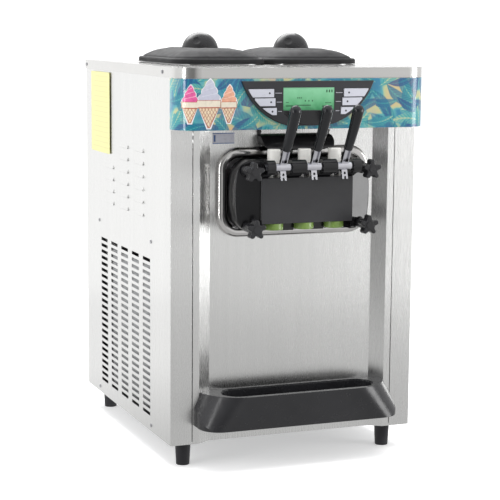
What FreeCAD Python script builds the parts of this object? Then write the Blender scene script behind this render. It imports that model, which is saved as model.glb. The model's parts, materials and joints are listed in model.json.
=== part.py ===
"""Soft serve machine, countertop, two hoppers and three draw levers.

Millimetres. +X is the machine's right as a customer sees it, -Y is the front, +Z is up.
The origin is on the floor, at the middle of the whole machine's box.
Every driving size is a cell of the sheet "Sizes"; positions are worked out from those cells.
"""
import FreeCAD, Part, Sketcher
import math
import os
import re
from FreeCAD import Placement, Rotation, Vector

SIZES = [
    # cabinet
    ("body_width", 520.0, "cabinet over its side panels"),
    ("body_depth", 588.8, "cabinet from the pillars' front face to the rear panel"),
    ("body_top", 787.4, "height of the deck above the floor"),
    ("front_y", -218.6, "front face of the two pillars"),
    ("foot_height", 49.6, "underside of the cabinet above the floor"),
    ("skin", 1.2, "sheet steel of the panels"),
    ("pillar_width", 44.1, "front return of each side panel"),
    ("joint_gap", 1.6, "groove between a pillar and the front panel"),
    ("strip_width", 13.6, "flat edge strip of the front panel"),
    ("slope_width", 26.5, "sloping edge of the front panel, seen from the front"),
    ("recess_depth", 16.7, "front panel's middle face behind the pillars' face"),
    # head and deck
    ("head_low", 669.6, "underside of the head"),
    ("head_out", 54.4, "head's front face in front of the pillars"),
    ("head_side", 2.2, "head and deck beyond the side panels"),
    ("head_corner", 44.6, "rounding of the head's front corners"),
    ("cover_flange", 20.1, "turned-down edge of the deck"),
    ("cover_sheet", 1.5, "sheet steel of the deck and the head"),
    # hoppers and lids
    ("hopper_x", 102.8, "middle of each hopper from the centre line"),
    ("hopper_back", 275.4, "middle of each hopper behind the pillars' face"),
    ("hopper_width", 172.0, "hopper opening, side to side"),
    ("hopper_length", 282.0, "hopper opening, front to back"),
    ("hopper_corner", 44.0, "rounding of the hopper's upright edges"),
    ("hopper_depth", 128.0, "hopper's rim to its floor"),
    ("hopper_wall", 1.5, "sheet steel of the hopper"),
    ("rim_width", 7.0, "hopper's flange on the deck"),
    ("lid_width", 200.0, "lid, side to side"),
    ("lid_length", 310.0, "lid, front to back"),
    ("lid_corner", 58.0, "rounding of the lid's corners"),
    ("lid_lip", 10.5, "rounded lip round the lid"),
    ("lid_step", 9.0, "lid's crown set in from its lip"),
    ("lid_dome", 18.5, "rise of the lid's crown above its lip"),
    ("lid_wall", 3.0, "moulding thickness of the lid"),
    ("knob_radius", 38.0, "lid knob at its foot"),
    ("knob_height", 36.5, "lid knob above its foot"),
    # door, levers and nozzles
    ("door_width", 286.0, "dispensing door"),
    ("door_height", 140.0, "dispensing door"),
    ("door_z", 541.5, "middle of the door above the floor"),
    ("door_corner", 38.0, "rounding of the door's corners"),
    ("door_out", 36.0, "outer edge of the door's wings in front of the pillars"),
    ("wing_rise", 15.0, "slope of each wing, outer edge to middle block"),
    ("door_bow", 8.0, "bow of the door's sides"),
    ("nose_width", 192.0, "thick middle block of the door"),
    ("nose_out", 57.0, "middle block in front of the pillars"),
    ("nose_low", 488.0, "underside of the middle block"),
    ("nose_top", 577.0, "top of the middle block"),
    ("plate_sheet", 3.0, "front plate on the middle block"),
    ("bead_width", 21.5, "raised bead round the door"),
    ("bead_outer", 324.0, "bead, outside width"),
    ("bead_tall", 176.0, "bead, outside height"),
    ("bead_corner", 44.0, "bead, outside corner"),
    ("bead_out", 14.0, "bead in front of the recessed face"),
    ("lever_pitch", 64.2, "distance between neighbouring levers"),
    ("pivot_out", 83.0, "lever pivot in front of the pillars"),
    ("pivot_z", 599.5, "lever pivot above the floor"),
    ("rod_radius", 4.0, "pivot rod"),
    ("hub_radius", 8.0, "lever hub"),
    ("hub_width", 33.0, "lever hub along the rod"),
    ("knuckle_radius", 14.0, "door knuckles that carry the rod"),
    ("lever_lean", 29.3, "lever's lean to the front when closed, in degrees"),
    ("lever_length", 137.0, "pivot to the end of the grip"),
    ("grip_start", 40.0, "pivot to the grip's lower end"),
    ("grip_radius", 11.0, "grip at its top"),
    ("arm_width", 14.0, "lever's pressed arm"),
    ("arm_thick", 7.0, "lever's pressed arm"),
    ("arm_wall", 1.6, "rim left round the channel in the arm"),
    ("lift_arm", 43.8, "pivot to the lifting pin"),
    ("lift_angle", 23.0, "lifting arm below the horizontal when closed, in degrees"),
    ("piston_out", 40.5, "piston axis in front of the pillars"),
    ("piston_radius", 12.85, "draw piston"),
    ("piston_low", 492.0, "piston's lower end when closed"),
    ("piston_top", 631.0, "piston's upper end when closed"),
    ("slide_gap", 0.35, "gap round anything that slides"),
    ("nozzle_radius", 19.5, "nozzle cap"),
    ("nozzle_height", 13.0, "nozzle cap"),
    ("star_radius", 19.5, "star knob over its points"),
    ("star_upper_x", 122.5, "upper star knobs from the centre line"),
    ("star_lower_x", 118.5, "lower star knobs from the centre line"),
    ("star_upper_z", 591.5, "upper star knobs above the floor"),
    ("star_lower_z", 482.5, "lower star knobs above the floor"),
    ("star_out", 85.0, "middle of the star heads in front of the pillars"),
    ("star_thick", 18.0, "star head"),
    ("stud_radius", 5.0, "door stud"),
    ("stud_length", 74.0, "door stud"),
    # visor
    ("visor_width", 152.0, "splash visor over the door"),
    ("visor_top", 657.0, "visor's upper edge"),
    ("visor_low", 628.5, "visor's lower edge"),
    ("visor_out", 38.0, "visor's lower edge in front of the recessed face"),
    # control panel
    ("bezel_width", 276.0, "control panel along its top edge"),
    ("bezel_top", 762.0, "control panel's top edge"),
    ("bezel_low", 676.5, "control panel's bottom edge"),
    ("bezel_foot", 82.0, "control panel along its bottom edge"),
    ("bezel_thick", 5.0, "control panel in front of the head"),
    ("screen_width", 107.0, "display"),
    ("screen_low", 706.0, "display's lower edge"),
    ("screen_high", 749.5, "display's upper edge"),
    ("button_gap", 0.4, "gap round each button"),
    ("button_proud", 1.8, "button in front of the control panel"),
    # drip tray
    ("tray_half", 211.0, "half the width of the drip tray"),
    ("tray_low", 87.0, "drip tray's underside"),
    ("tray_top", 152.0, "drip tray's top"),
    ("tray_out", 70.0, "drip tray's front in front of the pillars"),
    ("tray_corner", 42.0, "rounding of the tray's front corners"),
    ("well_half", 160.0, "half the length of the tray's well"),
    ("well_width", 62.0, "tray's well, front to back"),
    ("well_depth", 42.0, "tray's well"),
    # vents
    ("slot_length", 48.0, "lower vent slot"),
    ("slot_height", 7.0, "lower vent slot"),
    ("slot_pitch", 13.7, "rows of the lower vent"),
    ("column_pitch", 75.0, "columns of the vents"),
    ("vent_low", 80.0, "lowest slot's lower edge"),
    ("vent_reach", 166.0, "lower vent's first column in front of the side's middle"),
    ("louvre_reach", 124.0, "upper vent's first column in front of the side's middle"),
    ("louvre_length", 58.0, "upper pressed louvre"),
    ("louvre_space", 46.0, "gap between columns of louvres"),
    ("louvre_pitch", 25.8, "rows of the upper louvres"),
    ("louvre_low", 482.0, "lowest upper louvre"),
    # feet
    ("foot_inset_x", 40.0, "foot from the cabinet's side"),
    ("foot_inset_y", 42.0, "foot from the cabinet's front and rear"),
    ("foot_top_radius", 16.0, "foot under the cabinet"),
    ("foot_low_radius", 13.5, "foot on the floor"),
    # machinery
    ("cylinder_x", 64.2, "middle of each freezing cylinder from the centre line"),
    ("cylinder_z", 544.0, "freezing cylinders' axis above the floor"),
    ("cylinder_radius", 46.0, "freezing cylinder, inside"),
    ("cylinder_wall", 3.0, "freezing cylinder's wall"),
    ("cylinder_length", 400.0, "freezing cylinder"),
    ("beater_gap", 1.2, "beater's blades to the cylinder's wall"),
    ("shaft_radius", 7.0, "beater shaft"),
    ("shaft_gap", 0.06, "running clearance round a shaft"),
    ("shelf_z", 440.0, "machinery shelf above the floor"),
    ("pulley_radius", 58.0, "gearbox pulley's groove"),
    ("motor_pulley_radius", 29.0, "motor pulley's groove"),
    ("motor_z", 132.0, "beater motor's axis above the floor"),
    ("motor_radius", 62.0, "beater motor"),
    ("belt_width", 9.0, "drive belt"),
    ("belt_thick", 6.0, "drive belt"),
    ("fan_radius", 108.0, "condenser fan"),
    ("fan_z", 235.0, "condenser fan's axis above the floor"),
    ("fan_back", 285.0, "condenser fan's axis behind the pillars' face"),
    ("box_width", 120.0, "electrical box, side to side"),
    ("box_length", 140.0, "electrical box, front to back"),
    ("box_height", 190.0, "electrical box"),
    ("box_x", 180.0, "middle of the electrical box from the centre line"),
    ("box_back", 130.0, "middle of the electrical box in front of the rear face"),
]
ALIASES = {alias for alias, _, _ in SIZES}

doc = FreeCAD.newDocument("SoftServeMachine")
sheet = doc.addObject("Spreadsheet::Sheet", "Sizes")
for row, (alias, number, note) in enumerate(SIZES, start=1):
    sheet.set(f"A{row}", alias)
    sheet.set(f"B{row}", str(number))
    sheet.setAlias(f"B{row}", alias)
    sheet.set(f"C{row}", note)
doc.recompute()


class Sizes:
    """The sheet's values, for the pieces whose shape is worked out here."""

    def __getattr__(self, alias):
        return float(sheet.get(alias))


S = Sizes()
NODES = {}

TO_BACK = Rotation(Vector(1, 0, 0), -90)
TO_FRONT = Rotation(Vector(1, 0, 0), 90)
TO_RIGHT = Rotation(Vector(0, 1, 0), 90)
SIDES = {"left": -1, "right": 1}


# ---------------------------------------------------------------- helpers
def sized(text):
    """An expression written with bare aliases, pointed at the sheet."""
    def point(word):
        return "Sizes." + word.group() if word.group() in ALIASES else word.group()

    return re.sub(r"[a-z_][a-z0-9_]*", point, str(text))


def bind(thing, **sizes):
    for name, text in sizes.items():
        thing.setExpression(name, sized(text))
    return thing


def put(thing, x, y, z, turn=None):
    """Places a thing by three expressions, turned first when a rotation is given."""
    if turn:
        thing.Placement = Placement(Vector(), turn)
    for axis, text in zip("xyz", (x, y, z)):
        thing.setExpression("Placement.Base." + axis, sized(text))
    return thing


def box(name, size, corner):
    """A box from its three sizes and its lowest corner."""
    thing = doc.addObject("Part::Box", name)
    bind(thing, Length=size[0], Width=size[1], Height=size[2])
    return put(thing, *corner)


def rod(name, radius, length, start, turn=None):
    thing = doc.addObject("Part::Cylinder", name)
    bind(thing, Radius=radius, Height=length)
    return put(thing, *start, turn)


def fuse(name, *things):
    thing = doc.addObject("Part::MultiFuse", name)
    thing.Shapes = list(things)
    return thing


def cut(name, base, *tools):
    thing = doc.addObject("Part::Cut", name)
    thing.Base = base
    thing.Tool = tools[0] if len(tools) == 1 else fuse(name + "_tools", *tools)
    return thing


def group(name, *things):
    """Separate solids that share one node."""
    thing = doc.addObject("Part::Compound", name)
    thing.Links = list(things)
    return thing


def mirrored(name, source):
    thing = doc.addObject("Part::Mirroring", name)
    thing.Source = source
    thing.Normal = Vector(1, 0, 0)
    return thing


def node(name, thing):
    thing.Label = name
    NODES[name] = thing
    return thing


def solid(name, shape, x=0.0, y=0.0, z=0.0):
    """A piece whose shape is worked out from the sheet's values."""
    thing = doc.addObject("Part::Feature", name)
    thing.Shape = shape
    thing.Placement = Placement(Vector(x, y, z), Rotation()).multiply(shape.Placement)
    return node(name, thing)


def sketched_block(name, width, height, thick, place, corner, turn=None):
    """A padded rectangle, centred on its place, with its four long edges rounded."""
    body = doc.addObject("PartDesign::Body", name)
    sketch = body.newObject("Sketcher::SketchObject", name + "_sketch")
    plane = [item for item in body.Origin.OriginFeatures if item.Role == "XY_Plane"][0]
    sketch.AttachmentSupport = (plane, [""])
    sketch.MapMode = "FlatFace"
    points = [Vector(-9, -9), Vector(9, -9), Vector(9, 9), Vector(-9, 9)]
    for start, end in zip(points, points[1:] + points[:1]):
        sketch.addGeometry(Part.LineSegment(start, end), False)
    for edge in range(4):
        sketch.addConstraint(Sketcher.Constraint("Coincident", edge, 2, (edge + 1) % 4, 1))
    for edge, kind in enumerate(("Horizontal", "Vertical", "Horizontal", "Vertical")):
        sketch.addConstraint(Sketcher.Constraint(kind, edge))
    sketch.addConstraint(Sketcher.Constraint("Symmetric", 0, 1, 2, 1, -1, 1))
    wide = sketch.addConstraint(Sketcher.Constraint("DistanceX", 0, 1, 0, 2, 18))
    tall = sketch.addConstraint(Sketcher.Constraint("DistanceY", 1, 1, 1, 2, 18))
    sketch.setExpression(f"Constraints[{wide}]", sized(width))
    sketch.setExpression(f"Constraints[{tall}]", sized(height))
    pad = body.newObject("PartDesign::Pad", name + "_pad")
    pad.Profile = sketch
    bind(pad, Length=thick)
    sketch.Visibility = False
    doc.recompute()
    upright = [
        f"Edge{index}"
        for index, edge in enumerate(pad.Shape.Edges, start=1)
        if abs(edge.tangentAt(edge.FirstParameter).z) > 0.99
    ]
    rounding = body.newObject("PartDesign::Fillet", name + "_rounding")
    rounding.Base = (pad, upright)
    bind(rounding, Radius=corner)
    body.Tip = rounding
    return put(body, *place, turn)



# ---------------------------------------------------------------- shapes
def plane_points(points, axis):
    """2-D points as 3-D points in the plane square to an axis."""
    lift = {
        "x": lambda p: Vector(0, p[0], p[1]),
        "y": lambda p: Vector(p[0], 0, p[1]),
        "z": lambda p: Vector(p[0], p[1], 0),
    }[axis]
    return [lift(point) for point in points]


def prism(points, axis, start, length):
    """A straight-sided outline pushed along an axis."""
    direction = {"x": Vector(1, 0, 0), "y": Vector(0, 1, 0), "z": Vector(0, 0, 1)}[axis]
    corners = [corner + direction * start for corner in plane_points(points, axis)]
    face = Part.Face(Part.makePolygon(corners + corners[:1]))
    return face.extrude(direction * length)


def round_wire(half_x, half_y, corner, z, x=0.0, y=0.0):
    """A rounded rectangle in a level plane."""
    right, back = half_x - corner, half_y - corner
    diagonal = corner * math.sqrt(0.5)
    edges = []
    turns = [(1, -1), (1, 1), (-1, 1), (-1, -1)]
    ends = []
    for sx, sy in turns:
        centre = Vector(x + sx * right, y + sy * back, z)
        along_x = centre + Vector(sx * corner, 0, 0)
        along_y = centre + Vector(0, sy * corner, 0)
        middle = centre + Vector(sx * diagonal, sy * diagonal, 0)
        first, last = (along_y, along_x) if sx * sy < 0 else (along_x, along_y)
        ends.append((first, middle, last))
    for index, (first, middle, last) in enumerate(ends):
        edges.append(Part.Arc(first, middle, last).toShape())
        following = ends[(index + 1) % 4][0]
        if (following - last).Length > 1e-6:
            edges.append(Part.LineSegment(last, following).toShape())
    return Part.Wire(edges)


def round_prism(half_x, half_y, corner, low, high, x=0.0, y=0.0):
    face = Part.Face(round_wire(half_x, half_y, corner, low, x, y))
    return face.extrude(Vector(0, 0, high - low))


def facing(shape, y, z):
    """A shape built on the floor plane, stood up to face the front with its base at y."""
    shape.Placement = Placement(Vector(0, y, z), TO_FRONT)
    return shape.copy()


def cylinder(radius, length, start, direction):
    return Part.makeCylinder(radius, length, start, direction)


def cuboid(x0, x1, y0, y1, z0, z1):
    return Part.makeBox(x1 - x0, y1 - y0, z1 - z0, Vector(x0, y0, z0))


def rounded(shape, radius, wanted):
    """Fillets the edges that a test picks by their middle point and direction."""
    edges = []
    for edge in shape.Edges:
        middle = edge.valueAt((edge.FirstParameter + edge.LastParameter) / 2)
        direction = edge.tangentAt(edge.FirstParameter)
        if wanted(middle, direction):
            edges.append(edge)
    return shape.makeFillet(radius, edges)


# ---------------------------------------------------------------- cabinet
SEAM = 0.3
SCREW_HOLE = 1.9
VENT_ROWS, VENT_COLUMNS = 24, 5
LOUVRE_ROWS = (6, 6, 4)
VENT_SCREWS = ((196, 438), (-172, 438), (196, 62), (-172, 62))
FLANGE_SCREWS = (285, -250)
BEAD_LIFT = 2.5


def make_base():
    inside = "body_width - 2 * skin - 0.6"
    pan = box("pan_sheet", (inside, "body_depth - recess_depth - 2 * skin - 1.2", "2"),
              ("-(%s) / 2" % inside, "front_y + recess_depth + skin + 0.6", "foot_height"))
    node("base_pan", pan)
    height = "body_top - cover_sheet - foot_height - 2.6"
    posts = []
    for side in (-1, 1):
        for end, y in (("front", "front_y + 20"), ("rear", "front_y + body_depth - 50")):
            x = "-body_width / 2 + 3" if side < 0 else "body_width / 2 - 28"
            tag = end + ("_left" if side < 0 else "_right")
            outer = box("post_" + tag, ("25", "25", height), (x, y, "foot_height + 2.2"))
            inner_x = x + (" + 2" if side < 0 else " - 2")
            inner = box("post_hollow_" + tag, ("25", "23", height),
                        (inner_x, y + " + 2", "foot_height + 2.2"))
            posts.append(cut("angle_" + tag, outer, inner))
    shelf = box("shelf", ("body_width - 6", "body_depth - 60", "2"),
                ("-(body_width - 6) / 2", "front_y + 30", "shelf_z - 2"))
    belt_way = box("belt_way", ("260", "60", "20"), ("-130", "front_y + body_depth - 70", "shelf_z - 10"))
    node("frame_posts", fuse("frame", cut("notched_shelf", shelf, belt_way), *posts))


def make_feet():
    feet = []
    for x in ("-body_width / 2 + foot_inset_x", "body_width / 2 - foot_inset_x"):
        for y in ("front_y + foot_inset_y", "front_y + body_depth - foot_inset_y"):
            foot = doc.addObject("Part::Cone", "foot_cone")
            bind(foot, Radius1="foot_low_radius", Radius2="foot_top_radius", Height="foot_height")
            feet.append(put(foot, x, y, "0"))
    node("levelling_feet", group("feet", *feet))


def vent_slots():
    """The lower vent's slots, as tools that cut through a side panel."""
    slots = []
    y_first = S.front_y + S.body_depth / 2 - S.vent_reach
    for column in range(VENT_COLUMNS):
        for row in range(VENT_ROWS):
            y = y_first + column * S.column_pitch
            z = S.vent_low + row * S.slot_pitch
            slots.append(cuboid(-S.body_width / 2 - 5, -S.body_width / 2 + 5,
                                y, y + S.slot_length, z, z + S.slot_height))
    return Part.makeCompound(slots)


def louvres():
    """Pressed louvres of the upper vent: four in the rear column, six in the other two."""
    bars = []
    y_first = S.front_y + S.body_depth / 2 - S.louvre_reach
    for column, rows in enumerate(LOUVRE_ROWS):
        for row in range(rows):
            y = y_first + column * (S.louvre_length + S.louvre_space)
            z = S.louvre_low + row * S.louvre_pitch
            bar = prism([(0, 0), (-2.6, 1.2), (0, 9)], "y", 0, S.louvre_length)
            bar.translate(Vector(-S.body_width / 2, y, z))
            bars.append(bar)
    return bars


def make_side_panels():
    low, high = S.foot_height, S.body_top - S.cover_sheet - SEAM
    outer, t = -S.body_width / 2, S.skin
    front, back = S.front_y, S.front_y + S.body_depth
    side = cuboid(outer, outer + t, front, back, low, high)
    inner, pillar_top = outer + S.pillar_width, S.head_low - SEAM
    pillar = cuboid(outer, inner, front, front + t, low, pillar_top)
    hem = cuboid(inner - t, inner, front, front + 14, low, pillar_top)
    rear_return = cuboid(outer, outer + 18, back - t, back, low, high)
    panel = side.fuse([pillar, hem, rear_return] + louvres()).removeSplitter()
    panel = panel.cut(vent_slots())
    for x, y, z in screw_places():
        if x < 0 and z < S.body_top - S.cover_flange:
            panel = panel.cut(cylinder(SCREW_HOLE, 8, Vector(outer - 4, y, z), Vector(1, 0, 0)))
    left = solid("left_side_panel", panel)
    node("right_side_panel", mirrored("right_panel", left))


def screw_places():
    """Screws on the sides: four round each lower vent and two in each deck flange."""
    middle = S.front_y + S.body_depth / 2
    edge = S.body_width / 2
    places = []
    for side in (-1, 1):
        for y, z in VENT_SCREWS:
            places.append((side * edge, middle + y, z))
        for y in FLANGE_SCREWS:
            places.append((side * (edge + S.head_side), middle + y, S.body_top - S.cover_flange / 2))
    return places


def make_panel_screws():
    screws = []
    for x, y, z in screw_places():
        out = Vector(1 if x > 0 else -1, 0, 0)
        head = cylinder(4.0, 1.6, Vector(x, y, z), out)
        head = rounded(head, 0.9, lambda middle, _: abs(middle.x - x) > 1.5)
        slot = cuboid(-3, 3, -0.5, 0.5, -5, 5)
        slot.Placement = Placement(Vector(x + out.x * 3.9, y, z), Rotation(Vector(1, 0, 0), 35))
        shank = cylinder(1.8, 2.0, Vector(x, y, z), out * -1)
        screws.append(head.cut(slot).fuse(shank).removeSplitter())
    solid("panel_screws", Part.makeCompound(screws))


def make_front_panel():
    """One bent sheet: edge strips, slopes and a recessed middle face."""
    edge = S.body_width / 2 - S.pillar_width - S.joint_gap
    strip, slope = edge - S.strip_width, edge - S.strip_width - S.slope_width
    front, recess, t = S.front_y, S.front_y + S.recess_depth, S.skin
    outside = [(-edge, front), (-strip, front), (-slope, recess),
               (slope, recess), (strip, front), (edge, front)]
    inside = [(edge, front + t), (strip - t / 2, front + t), (slope - t / 2, recess + t),
              (-slope + t / 2, recess + t), (-strip + t / 2, front + t), (-edge, front + t)]
    panel = prism(outside + inside, "z", S.foot_height, S.head_low - SEAM - S.foot_height)
    window = facing(round_prism(S.bead_outer / 2 - 24, S.bead_tall / 2 - 20, 20, -20, 20),
                    recess, S.door_z + BEAD_LIFT)
    panel = panel.cut(window)
    solid("front_panel", panel)


def make_door_surround():
    """Polished bead pressed round the door opening."""
    recess, z = S.front_y + S.recess_depth, S.door_z + BEAD_LIFT
    half_w, half_h = S.bead_outer / 2, S.bead_tall / 2
    outer = round_prism(half_w, half_h, S.bead_corner, 0, S.bead_out)
    inner = round_prism(half_w - S.bead_width, half_h - S.bead_width, S.bead_corner - S.bead_width,
                        -1, S.bead_out + 1)
    bead = outer.cut(inner)
    bead = rounded(bead, 9.0, lambda middle, _: middle.z > S.bead_out - 0.01)
    solid("door_surround", facing(bead, recess, z))


def make_rear_panel():
    back = "front_y + body_depth"
    sheet_piece = box("rear_sheet", ("body_width - 38", "skin", "body_top - foot_height - 4"),
                      ("-(body_width - 38) / 2", back + " - skin", "foot_height + 1"))
    slots = []
    for row in range(9):
        slots.append(box("rear_slot", ("150", "8", "7"),
                         ("-75", back + " - 4", "500 + %d" % (row * 16))))
    hole = rod("inlet_hole", "11.2", "12", ("-170", back + " - 6", "100"), TO_BACK)
    node("rear_panel", cut("rear_cut", sheet_piece, *slots, hole))
    flange = rod("inlet_flange", "17", "4", ("-170", back, "100"), TO_BACK)
    neck = rod("inlet_neck", "11", "16", ("-170", back + " - 14", "100"), TO_BACK)
    bore = rod("inlet_bore", "5", "30", ("-170", back + " - 20", "100"), TO_BACK)
    node("cable_gland", cut("gland", fuse("gland_body", flange, neck), bore))


# ---------------------------------------------------------------- head and deck
def head_outline(inset, low, high, front_only):
    """The head's plan, rounded at its two front corners, as a prism."""
    half = S.body_width / 2 + S.head_side - inset
    front = S.front_y - S.head_out + inset
    back = S.front_y - 0.4 if front_only else S.front_y + S.body_depth + S.head_side - inset
    corner = S.head_corner - inset
    block = cuboid(-half, half, front, back, low, high)
    return rounded(block, corner, lambda middle, way: abs(way.z) > 0.99 and middle.y < front + 1)


def make_top_cover():
    t = S.cover_sheet
    low = S.body_top - S.cover_flange
    deck = head_outline(0, low, S.body_top, False)
    deck = deck.cut(head_outline(t, low - 1, S.body_top - t, False))
    for side in (-1, 1):
        opening = round_prism(S.hopper_width / 2 + 0.4, S.hopper_length / 2 + 0.4, S.hopper_corner,
                              low, S.body_top + 5, side * S.hopper_x, S.front_y + S.hopper_back)
        deck = deck.cut(opening)
    for x, y, z in screw_places():
        if z > low:
            deck = deck.cut(cylinder(SCREW_HOLE, 8, Vector(x - 4, y, z), Vector(1, 0, 0)))
    solid("top_cover", deck)


def make_head_shell():
    t = S.cover_sheet
    high = S.body_top - S.cover_flange - SEAM
    shell = head_outline(0, S.head_low, high, True)
    hollow = head_outline(t, S.head_low + t, high + 1, True)
    hollow.translate(Vector(0, 2, 0))
    half = S.body_width / 2 + S.head_side - t
    hollow = hollow.fuse(cuboid(-half, half, S.front_y - 20, S.front_y + 3, S.head_low + t, high + 1))
    shell = shell.cut(hollow)
    front = S.front_y - S.head_out
    window = Part.Face(bezel_wire(7.0)).extrude(Vector(0, 8, 0))
    window.translate(Vector(0, front - 3, 0))
    solid("head_shell", shell.cut(window))


# ---------------------------------------------------------------- control panel
BUTTON_ROWS = (
    # outer end, inner end, lower edge, upper edge
    (125.0, 73.5, 731.5, 747.0),
    (112.0, 70.5, 714.8, 729.6),
    (95.5, 67.5, 697.6, 711.2),
)


def bezel_wire(inset):
    """The control panel's outline: flat top, two curved flanks, short flat foot."""
    half, foot = S.bezel_width / 2 - inset, S.bezel_foot / 2 - inset / 2
    top, low = S.bezel_top - inset, S.bezel_low + inset
    right_top, left_top = Vector(half, 0, top), Vector(-half, 0, top)
    right_foot, left_foot = Vector(foot, 0, low), Vector(-foot, 0, low)
    bulge = Vector(half * 0.73, 0, low + (top - low) * 0.35)
    return Part.Wire([
        Part.LineSegment(left_top, right_top).toShape(),
        Part.Arc(right_top, bulge, right_foot).toShape(),
        Part.LineSegment(right_foot, left_foot).toShape(),
        Part.Arc(left_foot, Vector(-bulge.x, 0, bulge.z), left_top).toShape(),
    ])


def button_blank(side, row, grow):
    """One button's plan: straight inner end, outer end that follows the panel's flank."""
    outer, inner, low, high = BUTTON_ROWS[row]
    left, right = sorted((side * (outer + grow), side * (inner - grow)))
    bar = cuboid(left, right, -40, 40, low - grow, high + grow)
    limit = Part.Face(bezel_wire(9.0 - grow)).extrude(Vector(0, 100, 0))
    limit.translate(Vector(0, -50, 0))
    return bar.common(limit)


def make_control_panel():
    face_y = S.front_y - S.head_out - S.bezel_thick
    bezel = Part.Face(bezel_wire(0)).extrude(Vector(0, S.bezel_thick, 0))
    bezel = rounded(bezel, 1.6, lambda middle, _: middle.y < 0.01)
    half = S.screen_width / 2
    bezel = bezel.cut(cuboid(-half, half, -1, 9, S.screen_low, S.screen_high))
    for side in (-1, 1):
        for row in range(3):
            bezel = bezel.cut(button_blank(side, row, S.button_gap))
    solid("control_panel", bezel, y=face_y)

    screen = box("screen", ("screen_width - 0.2", "bezel_thick + 1", "screen_high - screen_low - 0.2"),
                 ("-screen_width / 2 + 0.1", "front_y - head_out - bezel_thick + 1", "screen_low + 0.1"))
    node("display_screen", screen)
    slab = cuboid(-200, 200, -S.button_proud, S.bezel_thick + 4, 600, 800)
    for side, tag in ((-1, "left"), (1, "right")):
        for row, height in enumerate(("upper", "middle", "lower")):
            button = button_blank(side, row, 0.0).common(slab)
            solid(f"{tag}_{height}_button", button, y=face_y)


# ---------------------------------------------------------------- hoppers and lids
LIP_ROUND = 4.5
CROWN_SHARES = (0.02, 0.10, 0.20, 0.33, 0.50, 0.68, 0.86)
CROWN_POWER = 3.6
KNOB_SINK = 3.0
DISH_TURN = 33.0
DISH_RISE = 33.0
DISH_BALL = 22.0
DISH_DEPTH = 2.8


def make_hoppers():
    middle_y = S.front_y + S.hopper_back
    t = S.hopper_wall
    half_x, half_y = S.hopper_width / 2, S.hopper_length / 2
    for tag, side in SIDES.items():
        x = side * S.hopper_x
        floor = S.body_top - S.hopper_depth
        tank = round_prism(half_x, half_y, S.hopper_corner, floor, S.body_top + t, x, middle_y)
        rim = round_prism(half_x + S.rim_width, half_y + S.rim_width, S.hopper_corner + S.rim_width,
                          S.body_top, S.body_top + t, x, middle_y)
        inside = round_prism(half_x - t, half_y - t, S.hopper_corner - t, floor + t, S.body_top + 9,
                             x, middle_y)
        outlet = cylinder(9.0, 30, Vector(x, S.front_y + 190, floor - 20), Vector(0, 0, 1))
        outlet_bore = cylinder(7.5, 60, Vector(x, S.front_y + 190, floor - 30), Vector(0, 0, 1))
        hopper = tank.fuse([rim, outlet]).cut(inside.fuse(outlet_bore)).removeSplitter()
        solid(f"{tag}_hopper", hopper)


def lid_solid(inset, base, x, y):
    """The lid's outer form, or its hollow when inset: a lip, then a crown that rises to the middle."""
    half_x, half_y = S.lid_width / 2 - inset, S.lid_length / 2 - inset
    corner = S.lid_corner - inset
    lip_top = base + S.lid_lip - inset
    lip = round_prism(half_x, half_y, corner, base, lip_top, x, y)
    lip = rounded(lip, LIP_ROUND, lambda middle, _: middle.z > lip_top - 0.01)
    step = S.lid_step
    sections = [round_wire(half_x - step, half_y - step, corner - step, lip_top - 1, x, y)]
    for share in CROWN_SHARES:
        part_in = step + (half_x - step) * share
        level = lip_top + 1 + S.lid_dome * (1 - (1 - share) ** CROWN_POWER)
        small = (corner - step) * (1 - share)
        sections.append(round_wire(half_x - part_in, half_y - part_in, small, level, x, y))
    crown = Part.makeLoft(sections, True, False)
    return lip.fuse(crown).removeSplitter()


def make_lids():
    base = S.body_top + S.hopper_wall + 0.4
    y = S.front_y + S.hopper_back
    for tag, side in SIDES.items():
        x = side * S.hopper_x
        lid = lid_solid(0, base, x, y)
        hollow = lid_solid(S.lid_wall, base - 0.5, x, y)
        knob = lid_knob()
        knob.translate(Vector(x, y, base + S.lid_lip + S.lid_dome - KNOB_SINK))
        solid(f"{tag}_lid", lid.cut(hollow).fuse(knob).removeSplitter())


def lid_knob():
    """A domed knob with a shallow round dish in front and behind."""
    foot, tall = S.knob_radius, S.knob_height
    ball = (foot ** 2 + tall ** 2) / (2 * tall)
    middle = Vector(0, 0, tall - ball)
    dome = Part.makeSphere(ball, middle)
    dome = dome.common(cylinder(foot, tall + 1, Vector(), Vector(0, 0, 1)))
    rise = math.radians(DISH_RISE)
    for turn in (DISH_TURN, DISH_TURN + 180):
        angle = math.radians(turn)
        level_way = Vector(-math.sin(angle), -math.cos(angle), 0)
        outward = level_way * math.cos(rise) + Vector(0, 0, math.sin(rise))
        dish = Part.makeSphere(DISH_BALL, middle + outward * (ball + DISH_BALL - DISH_DEPTH))
        dome = dome.cut(dish)
    return dome


# ---------------------------------------------------------------- dispensing door
WING_FLAT = 34.0
SLEEVE_WIDE = 11.0


def lever_x():
    return {"left": -S.lever_pitch, "middle": 0.0, "right": S.lever_pitch}


def star_places():
    return {
        "upper_left": (-S.star_upper_x, S.star_upper_z),
        "upper_right": (S.star_upper_x, S.star_upper_z),
        "lower_left": (-S.star_lower_x, S.star_lower_z),
        "lower_right": (S.star_lower_x, S.star_lower_z),
    }


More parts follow.
